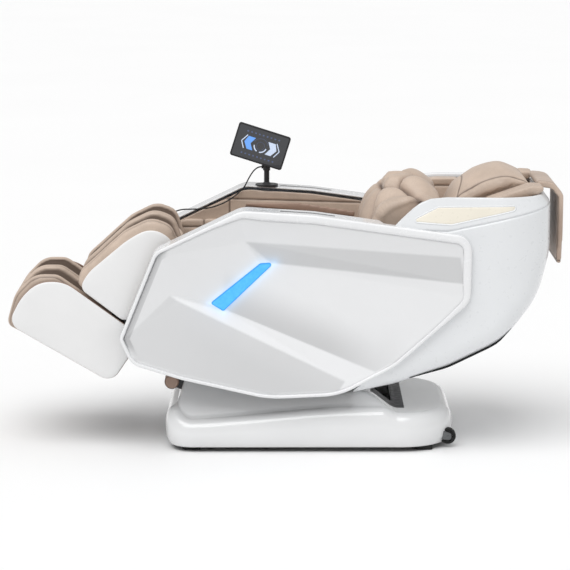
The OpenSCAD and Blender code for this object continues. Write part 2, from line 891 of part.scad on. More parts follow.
module massage_carriage() {
    color(dark_plastic) back_local() difference() {
        union() {
            block([carriage_x - 60, -150, rail_z - 20], [carriage_x + 60, 150, rail_z + 20]);
            both_sides() for (y = [knead_y[0] - 8, knead_y[1] + 2])
                side_slab(rounded([
                    [carriage_x - 22, rail_z + 20, 0], [carriage_x - 12, -36, 10],
                    [carriage_x + 12, -36, 10], [carriage_x + 22, rail_z + 20, 0]
                ]), y, y + 6);
            both_sides() cross_bar(knead_pivot[0], knead_pivot[1], knead_pin, knead_y[0] - 8, knead_y[1] + 8);
            // gear motor under the carriage
            translate([carriage_x - 45, -70, rail_z - 44]) rotate([0, 90, 0]) cylinder(d = 52, h = 90);
        }
        both_sides() translate([carriage_x - 80, rail_y, rail_z]) rotate([0, 90, 0])
            cylinder(d = rail_d + 2 * play, h = 160);
        translate([carriage_x - 80, 0, rail_z]) rotate([0, 90, 0]) cylinder(d = screw_d + 2 * play, h = 160);
    }
}

// Rocking arm with a roller at each end
module kneader() {
    reach = 55;
    lift = 33;
    color(leather_brown) back_local() translate([knead_pivot[0], 0, knead_pivot[1]]) difference() {
        union() {
            cross_bar(0, 0, 30, knead_y[0] + 1, knead_y[1] - 1);
            for (s = [-1, 1]) {
                side_solid(knead_y[0] + 12, knead_y[1] - 12) hull() {
                    circle(r = 12);
                    translate([s * reach, lift]) circle(r = 10);
                }
                translate([s * reach, knead_y[1] - 2, lift]) rotate([90, 0, 0]) rotate_extrude()
                    polygon(rounded([[0, 0, 0], [34, 0, 12], [34, 36, 12], [0, 36, 0]]));
            }
        }
        cross_bar(0, 0, knead_pin + 2 * play, 0, 100);
    }
}

module left_kneader() mirror([0, 1, 0]) kneader();
module right_kneader() kneader();

module back_pad() {
    color(leather_beige) intersection() {
        back_local() side_slab(rounded([
            [-262, 36, 25], [20, 88, 150], [357, 92, 150], [500, 78, 25], [485, 24, 10], [357, 29, 0],
            [20, 26, 0], [-250, -24, 12]
        ]), -back_plate_y[0], back_plate_y[0]);
        rear_plan(wall + 1);
    }
}

module lumbar_pillow() {
    color(leather_beige) side_slab(rounded([
        [285, 690, 30], [285, 800, 60], [330, 905, 60], [450, 955, 80], [532, 890, 50], [528, 792, 15],
        [450, 746, 0], [302, 658, 10]
    ]), -235, 235);
}

module head_pillow() {
    color(leather_beige) side_slab(rounded([
        [548, 800, 6], [600, 915, 60], [690, 975, 80], [770, 992, 60], [860, 950, 50], [886, 917, 6],
        [762, 869, 0], [560, 790, 4]
    ]), -150, 150);
}

module shoulder_flaps() {
    color(leather_beige) both_sides() side_slab(rounded([
        [650, 830, 6], [715, 884, 20], [860, 934, 20], [925, 930, 8], [884, 908, 0], [762, 874, 0]
    ]), 153, 250);
}

module back_flap() {
    color(leather_brown) side_slab(rounded([
        [890, 919, 0], [890, 942, 8], [950, 934, 30], [986, 890, 30], [985, 760, 0], [982, 643, 6],
        [965, 643, 6], [967, 760, 0], [968, 884, 14], [944, 911, 10]
    ]), -150, 150);
}

// ---- legs ----

// Slope of the legs, knee above foot
leg_angle = 39;
calf_lug_y = 223;
calf_outline = rounded([
    [-284, 165, 25], [-225, 189, 60], [-33, 190, 80], [52, 172, 60], [84, 90, 60], [20, -28, 40],
    [-237, -28, 22]
]);
foot_outline = rounded([
    [-562, 226, 22], [-467, 267, 60], [-385, 270, 60], [-312, 219, 30], [-243, -42, 22], [-298, -132, 35],
    [-413, -167, 45]
]);
calf_pad_outline = rounded([
    [-283, 180, 20], [-245, 206, 40], [-33, 218, 90], [66, 196, 60], [104, 130, 50], [70, 40, 20],
    [36, 30, 0], [-246, 30, 0]
]);
foot_pad_outline = rounded([
    [-572, 224, 18], [-482, 286, 60], [-385, 298, 70], [-322, 246, 30], [-258, 20, 0], [-480, 20, 0]
]);
well_y = [36, 172];
roller_at = [-474, 70];

// The legs' own frame: X up towards the knee, Z out of the padding, from the calf pivot
module leg_local() {
    translate([calf_x, 0, calf_z]) rotate([0, -leg_angle, 0]) children();
}

module calf_side_panels() {
    color(shell_white) leg_local() both_sides() side_solid(leg_y - 8, leg_y) difference() {
        polygon(calf_outline);
        circle(d = shaft_d + 3);
    }
}

module calf_upholstery() {
    well_floor = 70;
    color(leather_beige) leg_local() difference() {
        side_slab(calf_pad_outline, -(leg_y - 9), leg_y - 9);
        both_sides() block([-400, well_y[0], well_floor + 40], [200, well_y[1], 400]);
        both_sides() translate([-400, (well_y[0] + well_y[1]) / 2, well_floor + 42]) rotate([0, 90, 0])
            cylinder(r = (well_y[1] - well_y[0]) / 2, h = 600);
    }
}

slide_y = 205;
slide_bar = 20;
calf_bar = [-85, 0];
leg_head_local = [
    (leg_head[0] - calf_x) * cos(leg_angle) + (leg_head[1] - calf_z) * sin(leg_angle),
    -(leg_head[0] - calf_x) * sin(leg_angle) + (leg_head[1] - calf_z) * cos(leg_angle)
];

module calf_frame() {
    color(steel_grey) leg_local() difference() {
        union() {
            both_sides() {
                block([-232, slide_y - 17, -17], [-22, slide_y + 17, 17]);
                side_slab(rounded([
                    [-150, -22, 10], [-150, 22, 10], [0, 24, 24], [24, 24, 22], [24, -24, 22], [0, -24, 24]
                ]), calf_lug_y, leg_y - 8);
            }
            cross_bar(calf_bar[0], calf_bar[1], 26, -slide_y + 14, slide_y - 14);
            cross_bar(-200, 0, 26, -slide_y + 14, slide_y - 14);
            fork(calf_bar, leg_head_local, leg_motor_y);
            // underside tray
            difference() {
                block([-230, -(leg_y - 9), -27], [10, leg_y - 9, -23]);
                block([-112, leg_motor_y - 26, -30], [-58, leg_motor_y + 26, -20]);
            }
            both_sides() block([-230, slide_y + 13, -24], [-160, slide_y + 17, -10]);
        }
        both_sides() translate([0, slide_y, 0]) cube([600, slide_bar + 1, slide_bar + 1], center = true);
        cross_bar(0, 0, shaft_d + 2 * play, -300, 300);
    }
}

module foot_side_panels() {
    color(shell_white) leg_local() both_sides() side_solid(leg_y - 8, leg_y) offset(delta = -2)
        polygon(foot_outline);
}

module foot_piping() {
    color(leather_brown) leg_local() both_sides() side_solid(leg_y - 14, leg_y - 8) difference() {
        polygon(foot_outline);
        offset(delta = -7) polygon(foot_outline);
    }
}

module foot_upholstery() {
    color(leather_beige) leg_local() difference() {
        side_slab(foot_pad_outline, -(leg_y - 22), leg_y - 22);
        both_sides() block([-457, well_y[0], 30], [-150, well_y[1], 400]);
        cross_bar(roller_at[0], roller_at[1], 14, -300, 300);
        both_sides() cross_bar(roller_at[0], roller_at[1], 40, well_y[0] + 2, well_y[1] - 2);
    }
}

module foot_frame() {
    color(dark_plastic) leg_local() difference() {
        union() {
            // side plates
            both_sides() side_solid(leg_y - 22, leg_y - 14) offset(delta = -9) polygon(foot_outline);
            // underside tray
            side_solid(-(leg_y - 22), leg_y - 22) intersection() {
                difference() {
                    offset(delta = -8) polygon(foot_outline);
                    offset(delta = -13) polygon(foot_outline);
                }
                translate([-600, -200]) square([450, 219]);
            }
            side_solid(-(leg_y - 22), leg_y - 22) intersection() {
                offset(delta = -8) polygon(foot_outline);
                translate([-600, 13]) square([450, 6]);
            }
            // slide bars that run into the calf frame
            both_sides() block([-270, slide_y - slide_bar / 2, -slide_bar / 2],
                [-40, slide_y + slide_bar / 2, slide_bar / 2]);
        }
        cross_bar(roller_at[0], roller_at[1], 10 + 2 * play, -300, 300);
    }
}

module sole_rollers() {
    color(leather_brown) leg_local() {
        cross_bar(roller_at[0], roller_at[1], 10, -(leg_y - 15), leg_y - 15);
        both_sides() for (i = [0 : 3])
            translate([roller_at[0], well_y[0] + 5 + 32 * (i + 1) - 1, roller_at[1]]) rotate([90, 0, 0])
                rotate_extrude() polygon(rounded([[0, 0, 0], [18, 0, 5], [18, 30, 5], [0, 30, 0]]));
    }
}

base_cover();
base_frame();
foot_pads();
wheel_brackets();
pivot_shaft();
control_box();
power_inlet();
front_bracket();
front_roll();
power_switch();
left_wheel();
right_wheel();
tilt_motor();
tilt_rod();
seat_frame();
seat_pan();
seat_cushion();
left_side_shell();
right_side_shell();
left_inlay();
right_inlay();
light_strips();
arm_trims();
arm_panels();
arm_airbags();
knee_pads();
air_pump();
tablet_post();
tablet_cable();
cable_grommet();
tablet_head();
tablet_case();
tablet_screen();
rear_shell();
shell_gasket();
wing_windows();
wing_pads();
back_frame();
massage_rails();
back_pad();
lumbar_pillow();
head_pillow();
shoulder_flaps();
back_flap();
massage_carriage();
left_kneader();
right_kneader();
recline_motor();
recline_rod();
calf_side_panels();
calf_upholstery();
calf_frame();
leg_motor();
leg_rod();
foot_side_panels();
foot_upholstery();
foot_piping();
foot_frame();
sole_rollers();
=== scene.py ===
import math

import bmesh
import bpy
import numpy as np
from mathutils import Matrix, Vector


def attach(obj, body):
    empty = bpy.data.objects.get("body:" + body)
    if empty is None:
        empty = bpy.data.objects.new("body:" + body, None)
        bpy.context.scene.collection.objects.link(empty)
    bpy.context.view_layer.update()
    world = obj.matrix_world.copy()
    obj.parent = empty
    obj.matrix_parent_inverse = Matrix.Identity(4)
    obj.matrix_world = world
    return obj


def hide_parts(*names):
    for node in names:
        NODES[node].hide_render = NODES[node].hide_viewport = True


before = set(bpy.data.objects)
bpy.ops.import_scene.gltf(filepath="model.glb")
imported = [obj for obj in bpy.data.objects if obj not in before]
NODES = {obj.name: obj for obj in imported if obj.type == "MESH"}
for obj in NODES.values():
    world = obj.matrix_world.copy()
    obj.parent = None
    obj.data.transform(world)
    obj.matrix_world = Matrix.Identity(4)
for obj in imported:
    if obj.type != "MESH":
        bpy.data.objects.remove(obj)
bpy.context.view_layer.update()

MM = 0.001


def placed(name, data):
    """A new object in the scene."""
    made = bpy.data.objects.new(name, data)
    bpy.context.scene.collection.objects.link(made)
    return made


# ---- camera and cord ----

TARGET = Vector((0.0, 0.0, 0.540))
DISTANCE = 9.0
ELEVATION = math.radians(10)
camera = placed("camera", bpy.data.cameras.new("camera"))
camera.data.lens = 157.0
camera.data.sensor_width = 36
camera.location = TARGET + DISTANCE * Vector((0, -math.cos(ELEVATION), math.sin(ELEVATION)))
camera.rotation_euler = (TARGET - camera.location).to_track_quat("-Z", "Y").to_euler()
bpy.context.scene.camera = camera

# The tablet's cable in millimetres, from its socket to the grommet on the arm
CABLE_ROUTE = [
    (-87, 300, 933), (-99, 298, 931), (-113, 292, 922), (-126, 283, 906), (-138, 272, 886),
    (-150, 262, 864), (-166, 257, 847), (-187, 254, 829), (-216, 252, 810), (-249, 251, 795),
    (-282, 250, 786), (-316, 250, 782), (-348, 250, 781), (-377, 250, 780), (-402, 250, 774),
    (-420, 251, 763), (-432, 253, 748), (-438, 256, 735), (-440, 260, 729), (-440, 264, 728),
]
CABLE_D = 0.005


# ---- meshes ----

def ramp(low, high, x):
    """0 below low, 1 above high, and a smooth rise between them."""
    t = np.clip((np.asarray(x, float) - low) / (high - low), 0, 1)
    return t * t * (3 - 2 * t)


def soft_max(a, b, k):
    """The larger of a and b, with the crease between them rounded over about k."""
    h = np.clip(0.5 + 0.5 * (a - b) / k, 0, 1)
    return b + (a - b) * h + k * h * (1 - h)


def soft_min(a, b, k):
    return -soft_max(-a, -b, k)


def rounded(corners, steps=8):
    """A closed outline from corners (x, z, radius), each rounded with an arc."""
    out = []
    for i, (x, z, r) in enumerate(corners):
        p = np.array((x, z), float)
        a = np.array(corners[i - 1][:2], float) - p
        b = np.array(corners[(i + 1) % len(corners)][:2], float) - p
        if r <= 0:
            out.append(p)
            continue
        u, v = a / np.linalg.norm(a), b / np.linalg.norm(b)
        half = math.acos(np.clip(u @ v, -1, 1)) / 2
        reach = min(r / math.tan(half), 0.49 * np.linalg.norm(a), 0.49 * np.linalg.norm(b))
        centre = p + (u + v) / np.linalg.norm(u + v) * reach / math.cos(half)
        start, end = p + u * reach - centre, p + v * reach - centre
        sweep = math.atan2(start[0] * end[1] - start[1] * end[0], start @ end)
        for k in range(steps + 1):
            c, s = math.cos(sweep * k / steps), math.sin(sweep * k / steps)
            out.append(centre + (start[0] * c - start[1] * s, start[0] * s + start[1] * c))
    return np.array(out)


def resampled(outline, step, closed=True):
    """Points at even steps along an outline."""
    line = np.vstack([outline, outline[:1]]) if closed else np.asarray(outline, float)
    lengths = np.linalg.norm(np.diff(line, axis=0), axis=1)
    keep = np.concatenate([[True], lengths > 1e-6])
    line = line[keep]
    along = np.concatenate([[0], np.cumsum(np.linalg.norm(np.diff(line, axis=0), axis=1))])
    count = max(8, round(along[-1] / step))
    at = np.linspace(0, along[-1], count + (0 if closed else 1), endpoint=not closed)
    return np.column_stack([np.interp(at, along, line[:, k]) for k in range(line.shape[1])])


def inward(outline):
    """Unit normals that point into a closed outline."""
    t = np.roll(outline, -1, 0) - np.roll(outline, 1, 0)
    t /= np.linalg.norm(t, axis=1)[:, None]
    x, z = outline.T
    turn = np.sign(np.sum(x * np.roll(z, -1) - np.roll(x, -1) * z))
    return turn * np.column_stack([-t[:, 1], t[:, 0]])


def distance_to(points, line, closed=True):
    """Distance in the plane of each point to a polyline."""
    ends = np.roll(line, -1, 0) if closed else line[1:]
    starts = line if closed else line[:-1]
    best = np.full(len(points), 1e9)
    for a, b in zip(starts, ends):
        d = b - a
        t = np.clip(((points - a) @ d) / max(d @ d, 1e-12), 0, 1)
        best = np.minimum(best, np.linalg.norm(points - a - t[:, None] * d, axis=1))
    return best


def inside(points, line):
    """Which points lie in a closed polyline."""
    hit = np.zeros(len(points), bool)
    for a, b in zip(line, np.roll(line, -1, 0)):
        cross = (a[1] > points[:, 1]) != (b[1] > points[:, 1])
        if cross.any():
            at = a[0] + (points[:, 1] - a[1]) * (b[0] - a[0]) / (b[1] - a[1] + 1e-12)
            hit ^= cross & (points[:, 0] < at)
    return hit


def grid_faces(rows, columns, wrap=False):
    """Quads of a grid whose vertices run row by row; wrap joins the last column to the first."""
    r = np.arange(rows - 1)[:, None]
    c = np.arange(columns if wrap else columns - 1)[None, :]
    d = (c + 1) % columns
    quads = np.stack(np.broadcast_arrays(
        r * columns + c, r * columns + d, (r + 1) * columns + d, (r + 1) * columns + c), axis=-1)
    return quads.reshape(-1, 4).tolist()


def capped(rows, count):
    """Faces of closed rings, one after another, with the last ring filled."""
    return grid_faces(rows, count, True) + [list(range((rows - 1) * count, rows * count))]


def add_piece(name, points, faces, material, body=None, sharp=None, flip=False):
    """A mesh piece from points in millimetres, riding on a body."""
    mesh = bpy.data.meshes.new(name)
    if flip:
        faces = [f[::-1] for f in faces]
    mesh.from_pydata((np.asarray(points, float) * MM).tolist(), [], faces)
    mesh.validate()
    mesh.materials.append(material)
    mesh.polygons.foreach_set("use_smooth", [True] * len(mesh.polygons))
    if sharp is not None:
        mesh.set_sharp_from_angle(angle=math.radians(sharp))
    piece = placed(name, mesh)
    if body:
        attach(piece, body)
    return piece


def stands_for(node):
    """The piece replaces a CAD node, whose part is hidden."""
    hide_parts(node)


def walled(piece, thickness):
    """Gives an open surface a wall on its inner side."""
    wall = piece.modifiers.new("wall", "SOLIDIFY")
    wall.thickness = thickness
    wall.offset = -1


def faced_outward(piece, weld=False):
    """Turns all faces outward, after welding points that coincide."""
    work = bmesh.new()
    work.from_mesh(piece.data)
    if weld:
        bmesh.ops.remove_doubles(work, verts=work.verts, dist=0.0006)
        bmesh.ops.dissolve_degenerate(work, edges=work.edges, dist=0.0004)
    bmesh.ops.recalc_face_normals(work, faces=work.faces)
    work.to_mesh(piece.data)
    work.free()


def coordinates(piece):
    """The piece's vertices in millimetres."""
    co = np.empty(len(piece.data.vertices) * 3)
    piece.data.vertices.foreach_get("co", co)
    return co.reshape(-1, 3) / MM


def normals_of(piece):
    n = np.empty(len(piece.data.vertices) * 3)
    piece.data.vertices.foreach_get("normal", n)
    return n.reshape(-1, 3)


def set_coordinates(piece, co):
    piece.data.vertices.foreach_set("co", (co * MM).ravel())
    piece.data.update()


def paint(piece, name, values):
    """Keeps one number a vertex, that a material reads by name."""
    layer = piece.data.attributes.get(name) or piece.data.attributes.new(name, "FLOAT", "POINT")
    layer.data.foreach_set("value", np.asarray(values, np.float32))


def apply_modifiers(piece):
    """The piece's modifiers become its mesh."""
    bpy.context.view_layer.update()
    made = bpy.data.meshes.new_from_object(piece.evaluated_get(bpy.context.evaluated_depsgraph_get()))
    old, piece.data = piece.data, made
    piece.modifiers.clear()
    bpy.data.meshes.remove(old)
    made.polygons.foreach_set("use_smooth", [True] * len(made.polygons))
    made.update()


# ---- materials ----

class Shading:
    """One procedural material: nodes are added by kind and wired by name."""

    def __init__(self, name, colour, roughness, **sockets):
        self.material = bpy.data.materials.new(name)
        self.material.use_nodes = True
        self.tree = self.material.node_tree
        self.shader = self.tree.nodes["Principled BSDF"]
        self.shader.inputs["Base Color"].default_value = (*colour, 1)
        self.shader.inputs["Roughness"].default_value = roughness
        for socket, value in sockets.items():
            self.shader.inputs[socket.replace("_", " ")].default_value = value
        self.place = self.add("ShaderNodeTexCoord").outputs["Object"]

    def add(self, kind, settings=None, **inputs):
        made = self.tree.nodes.new(kind)
        for key, value in (settings or {}).items():
            setattr(made, key, value)
        for key, value in inputs.items():
            self.feed(made.inputs[key.replace("_", " ")], value)
        return made

    def feed(self, socket, value):
        if isinstance(value, bpy.types.NodeSocket):
            self.tree.links.new(value, socket)
        else:
            socket.default_value = value

    def noise(self, scale, detail=3, roughness=0.5, stretch=None):
        place = self.place
        if stretch:
            place = self.add("ShaderNodeMapping", Vector=place, Scale=stretch).outputs[0]
        return self.add("ShaderNodeTexNoise", Vector=place, Scale=scale, Detail=detail,
                        Roughness=roughness).outputs["Fac"]

    def spread(self, value, low=0, high=1, from_low=0.3, from_high=0.7):
        """A value moved from one range to another."""
        made = self.add("ShaderNodeMapRange")
        for socket, v in zip(made.inputs, (value, from_low, from_high, low, high)):
            self.feed(socket, v)
        return made.outputs[0]

    def math(self, operation, a, b=0.0):
        made = self.add("ShaderNodeMath", {"operation": operation})
        self.feed(made.inputs[0], a)
        self.feed(made.inputs[1], b)
        return made.outputs[0]

    def mix(self, amount, a, b, blend="MIX"):
        made = self.add("ShaderNodeMix", {"data_type": "RGBA", "blend_type": blend})
        self.feed(made.inputs[0], amount)
        self.feed(made.inputs[6], a if isinstance(a, bpy.types.NodeSocket) else (*a, 1))
        self.feed(made.inputs[7], b if isinstance(b, bpy.types.NodeSocket) else (*b, 1))
        return made.outputs[2]

    def painted(self, name):
        return self.add("ShaderNodeAttribute", {"attribute_name": name}).outputs["Fac"]

    def set(self, socket, value):
        self.feed(self.shader.inputs[socket], value)

    def bump(self, height, distance, strength=1.0):
        made = self.add("ShaderNodeBump", Height=height, Strength=strength, Distance=distance)
        before = self.shader.inputs["Normal"]
        if before.is_linked:
            self.tree.links.new(before.links[0].from_socket, made.inputs["Normal"])
        self.set("Normal", made.outputs[0])


def moulded(name, colour, roughness, coat=(0, 0.03), wear=0.03, peel=0.0001, skin=14):
    """Moulded or painted plastic: faint tint drift, uneven gloss and an orange-peel skin."""
    made = Shading(name, colour, roughness, Coat_Weight=coat[0], Coat_Roughness=coat[1])
    drift = made.noise(5, 2)
    darker = tuple(c * (1 - wear) for c in colour)
    made.set("Base Color", made.mix(made.spread(drift), colour, darker))
    fine = made.noise(60, 4)
    made.set("Roughness", made.spread(fine, roughness * 0.85, roughness * 1.2 + 0.01))
    made.bump(made.noise(skin, 2), peel, 0.2)
    return made


def leather(name, colour, fold, roughness=0.46):
    """Synthetic leather: pebbled grain, fine creases, and painted seams, folds and stitches."""
    made = Shading(name, colour, roughness, Specular_IOR_Level=0.42, Sheen_Weight=0.12,
                   Sheen_Roughness=0.5)
    drift = made.noise(9, 4, 0.6)
    lighter = tuple(min(1, c * 1.07) for c in colour)
    darker = tuple(c * 0.90 for c in colour)
    base = made.mix(made.spread(drift, 0, 1, 0.35, 0.65), darker, lighter)
    base = made.mix(made.painted("brown"), base, fold)
    cells = made.add("ShaderNodeTexVoronoi", {"feature": "F1"}, Vector=made.place, Scale=620.0)
    grain = cells.outputs["Distance"]
    base = made.mix(made.spread(grain, 0, 0.16, 0.45, 0.9), base, (0.10, 0.07, 0.055))
    seam = made.painted("seam")
    base = made.mix(made.math("MULTIPLY", seam, 0.72), base, tuple(c * 0.30 for c in fold))
    made.set("Base Color", base)
    made.set("Roughness", made.spread(made.noise(45, 3), roughness - 0.06, roughness + 0.10))
    made.bump(grain, 0.00022, 0.55)
    made.bump(made.noise(110, 5, 0.65), 0.0007, 0.6)
    made.bump(made.noise(22, 2, 0.5, (1, 0.5, 1)), 0.0018, 0.35)
    return made


def metal(name, colour, roughness, brushed=0.0):
    made = Shading(name, colour, roughness, Metallic=1.0 if brushed else 0.6)
    scratches = made.noise(180, 3, 0.6, (1, 12, 1) if brushed else None)
    made.set("Roughness", made.spread(scratches, roughness * 0.8, roughness * 1.3))
    made.set("Base Color", made.mix(made.spread(made.noise(12, 4)), colour,
                                    tuple(c * 0.8 for c in colour)))
    made.bump(scratches, 0.00008)
    return made


WHITE = moulded("shell_white", (0.80, 0.805, 0.815), 0.24, coat=(0.35, 0.12)).material
REAR_WHITE = moulded("rear_white", (0.76, 0.775, 0.79), 0.30, coat=(0.35, 0.12)).material
BASE_WHITE = moulded("base_white", (0.78, 0.785, 0.79), 0.16, coat=(0.6, 0.06)).material
PANEL_WHITE = moulded("panel_white", (0.80, 0.80, 0.80), 0.34, coat=(0.1, 0.2)).material
CREAM = moulded("cream_lens", (0.86, 0.81, 0.70), 0.3, wear=0.1, coat=(0.5, 0.1)).material
BLACK = moulded("black_plastic", (0.022, 0.022, 0.025), 0.42, wear=0.3, peel=0.00012, skin=160).material
DARK_GREY = moulded("dark_plastic", (0.06, 0.06, 0.065), 0.5, wear=0.3, peel=0.00012, skin=160).material
TRIM = moulded("trim_grey", (0.10, 0.10, 0.11), 0.28, wear=0.25).material
RUBBER = moulded("black_rubber", (0.018, 0.018, 0.018), 0.72, wear=0.35, peel=0.0003, skin=160).material
ROLLER = moulded("roller_rubber", (0.17, 0.11, 0.085), 0.6, wear=0.2, peel=0.0002, skin=160).material
STEEL = metal("steel_coated", (0.16, 0.165, 0.17), 0.5).material
BRIGHT = metal("steel_ground", (0.62, 0.63, 0.65), 0.26, 1.0).material
BEIGE, BROWN = (0.56, 0.445, 0.36), (0.24, 0.145, 0.108)
INLAY_WHITE = (0.82, 0.825, 0.835)
LEATHER = leather("leather_beige", BEIGE, BROWN).material
BROWN_LEATHER = leather("leather_brown", (0.36, 0.245, 0.19), BROWN, 0.42).material

gloss = moulded("gloss_inlay", INLAY_WHITE, 0.12, (0.8, 0.04), wear=0.015, peel=0.00002)
tint = gloss.shader.inputs["Base Color"].links[0].from_socket
# The inlay's paint is darkened by the painted shade kept in the light attribute
painted_shade_level = gloss.spread(gloss.painted("light"), 0, 1, 0.5, 1.0)
gloss.set("Base Color", gloss.mix(painted_shade_level, tuple(v / 2 for v in INLAY_WHITE), tint))
# Painted light: the glow attribute makes the panel itself emit a pool of the light strip's light
gloss.set("Emission Color", (0.10, 0.50, 1.0, 1))
gloss.set("Emission Strength", gloss.math("MULTIPLY", gloss.painted("glow"), 1.0))
INLAY = gloss.material

glass = moulded("screen_glass", (0.006, 0.008, 0.016), 0.12, wear=0.3, peel=0.00001, coat=(1.0, 0.03))
SCREEN = glass.material
lens = moulded("light_strip", (0.01, 0.10, 0.35), 0.2)
strip_drift = lens.noise(70, 2)
lit = lens.mix(lens.spread(strip_drift), (0.06, 0.44, 0.98), (0.09, 0.52, 1.0))
lens.set("Emission Color", lens.mix(lens.painted("edge"), lit, (0.03, 0.26, 0.78)))
lens.shader.inputs["Emission Strength"].default_value = 0.92
LIGHT = lens.material

# ---- cord ----

path = bpy.data.curves.new("tablet_cord", "CURVE")
path.dimensions = "3D"
path.bevel_depth = CABLE_D / 2
path.bevel_resolution = 4
path.use_fill_caps = True
spline = path.splines.new("BEZIER")
spline.bezier_points.add(len(CABLE_ROUTE) - 1)
for point, at in zip(spline.bezier_points, CABLE_ROUTE):
    point.co = [v * MM for v in at]
    point.handle_left_type = point.handle_right_type = "AUTO"
path.materials.append(RUBBER)
cord = placed("tablet_cord", path)
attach(cord, "seat_body")
stands_for("tablet_cable")

# ---- side shells and inlays ----

SIDE_Y, ARM_Y = 390, 277
SIDE_OUTLINE = rounded([
    (-577, 416, 30), (-452, 722, 55), (-150, 867, 90), (100, 851, 400), (345, 817, 400),
    (648, 775, 60), (645, 548, 70), (385, 318, 200), (190, 214, 260), (-60, 203, 400),
    (-360, 271, 400), (-535, 325, 70),
])
SIDES = (("left", -1), ("right", 1))
# The rounded rim from its inner edge over the face to the flange: (inset, depth below the face)
RIM_PROFILE = [(17.5, 15), (17.2, 8), (16, 2.6), (14, 0.6), (11, 0), (7, 0), (3.4, 0.8), (1, 3),
               (0, 6.5), (0, 14), (0, 24), (0, 36), (0, 46)]
FLANGE = RIM_PROFILE[-1][1]
# Rows over the arm's top: (share of the way in, drop, depth of the trim's groove)
ROOF_ROWS = ((0.025, 0, 0), (0.034, 0, 2.6), (0.384, 0, 2.6), (0.393, 0, 0), (0.6, 0, 0), (0.8, 0, 0),
             (0.95, 0, 0), (1, 4, 0))
TRIM_X = (-17, 173)


def rim_width(ring):
    """How wide the rim is along the outline: broad over the top and rear, narrow elsewhere."""
    broad = ramp(-300, -60, ring[:, 0]) * ramp(420, 640, ring[:, 1])
    return 0.72 + 1.0 * broad


def add_side_shell(word, side):
    ring = resampled(SIDE_OUTLINE, 7)
    normal = inward(ring)
    x, z = ring.T
    roof = ramp(0.05, 0.35, -normal[:, 1]) * ramp(345, 325, x)
    front = ramp(0.6, 0.9, normal[:, 0]) * (x < 0) * ramp(395, 430, z)
    reach = (SIDE_Y - ARM_Y - FLANGE) * np.maximum(roof, front)
    rows = [(inset * rim_width(ring), np.full(len(ring), float(depth))) for inset, depth in RIM_PROFILE]
    groove = ramp(TRIM_X[0] - 2, TRIM_X[0], x) * ramp(TRIM_X[1] + 2, TRIM_X[1], x) * roof
    rows += [(drop + slot * groove, FLANGE + reach * share) for share, drop, slot in ROOF_ROWS]
    points = []
    for inset, depth in rows:
        at = ring + normal * inset[:, None]
        points.append(np.column_stack([at[:, 0], side * (SIDE_Y - depth), at[:, 1]]))
    shell = add_piece(f"{word}_shell", np.vstack(points), grid_faces(len(rows), len(ring), True),
                      WHITE, "seat_body", sharp=50, flip=side > 0)
    walled(shell, 0.003)
    stands_for(f"{word}_side_shell")


# Corners of the facets [x, z, depth below the outer face]: the rim first, then those inside it
FACET_POINTS = np.array([
    (-556, 418, 5), (-438, 706, 5), (-154, 846, 5), (98, 832, 5), (345, 798, 5), (600, 763, 5),
    (627, 735, 5), (627, 560, 5), (378, 334, 5), (188, 233, 5), (-58, 222, 5), (-355, 290, 5),
    (-522, 342, 5), (-138, 758, 16), (608, 703, 9), (-50, 681, 33), (622, 610, 10), (-84, 684, 17),
    (-253, 544, 16), (-208, 515, 31), (-399, 570, 9), (-371, 550, 5), (314, 297, 10), (209, 266, 5),
], float)
UPPER_SLOPE = [(1, 2, 13), (2, 3, 13), (3, 14, 13), (3, 4, 14), (4, 5, 14), (5, 6, 14), (6, 16, 14),
               (6, 7, 16)]
OVERHANG = [(13, 16, 15), (13, 14, 16)]
NOSE = [(13, 15, 17), (1, 13, 17), (1, 17, 18), (1, 18, 20), (1, 20, 0), (17, 19, 18), (17, 15, 19)]
FLOOR = [(15, 22, 19), (15, 8, 22), (15, 7, 8), (15, 16, 7)]
RIDGE = [(20, 18, 19), (20, 19, 21), (19, 23, 21), (19, 22, 23), (22, 9, 23), (22, 8, 9)]
UNDERSIDE = [(20, 21, 0), (21, 12, 0), (21, 11, 12), (21, 10, 11), (21, 23, 10), (23, 9, 10)]
# Each group of facets and its painted shade: how light its paint is, darker where the facet faces down and
# away from the light
FACET_PAINTED_SHADE = ((UPPER_SLOPE, 0.88), (OVERHANG, 0.69), (NOSE, 0.88), (FLOOR, 0.93), (RIDGE, 1.0), (UNDERSIDE, 0.77))
STRIP = np.array([(-86, 682), (-36, 682), (-214, 511), (-261, 541)], float)
PANEL_INSET = 16.4
FRONT_BEVEL = 24


def facet_at(points):
    """Depth and painted shade of the faceted panel at each point of the side view; the shade lightens or
    darkens each facet's paint by how it faces the light.
    """
    depth = np.full(len(points), 5.0)
    # light holds the painted shade, as a lightness of the paint
    light = np.full(len(points), 0.93)
    for group, shade in FACET_PAINTED_SHADE:
        for corners in group:
            a, b, c = FACET_POINTS[list(corners)]
            area = (b[0] - a[0]) * (c[1] - a[1]) - (c[0] - a[0]) * (b[1] - a[1])
            v = ((points[:, 0] - a[0]) * (c[1] - a[1]) - (c[0] - a[0]) * (points[:, 1] - a[1])) / area
            w = ((b[0] - a[0]) * (points[:, 1] - a[1]) - (points[:, 0] - a[0]) * (b[1] - a[1])) / area
            hit = (v >= -1e-6) & (w >= -1e-6) & (v + w <= 1 + 1e-6)
            depth[hit] = a[2] + v[hit] * (b[2] - a[2]) + w[hit] * (c[2] - a[2])
            light[hit] = shade
    return depth, light


def facets_rounded(points):
    """The facets' depth and painted shade, with their creases rounded over a few millimetres."""
    offsets = [(0, 0)] + [(r * math.cos(a), r * math.sin(a)) for r in (2.2, 4.4)
                          for a in np.arange(8) * math.pi / 4]
    return [sum(part) / len(offsets) for part in zip(*[facet_at(points + o) for o in offsets])]


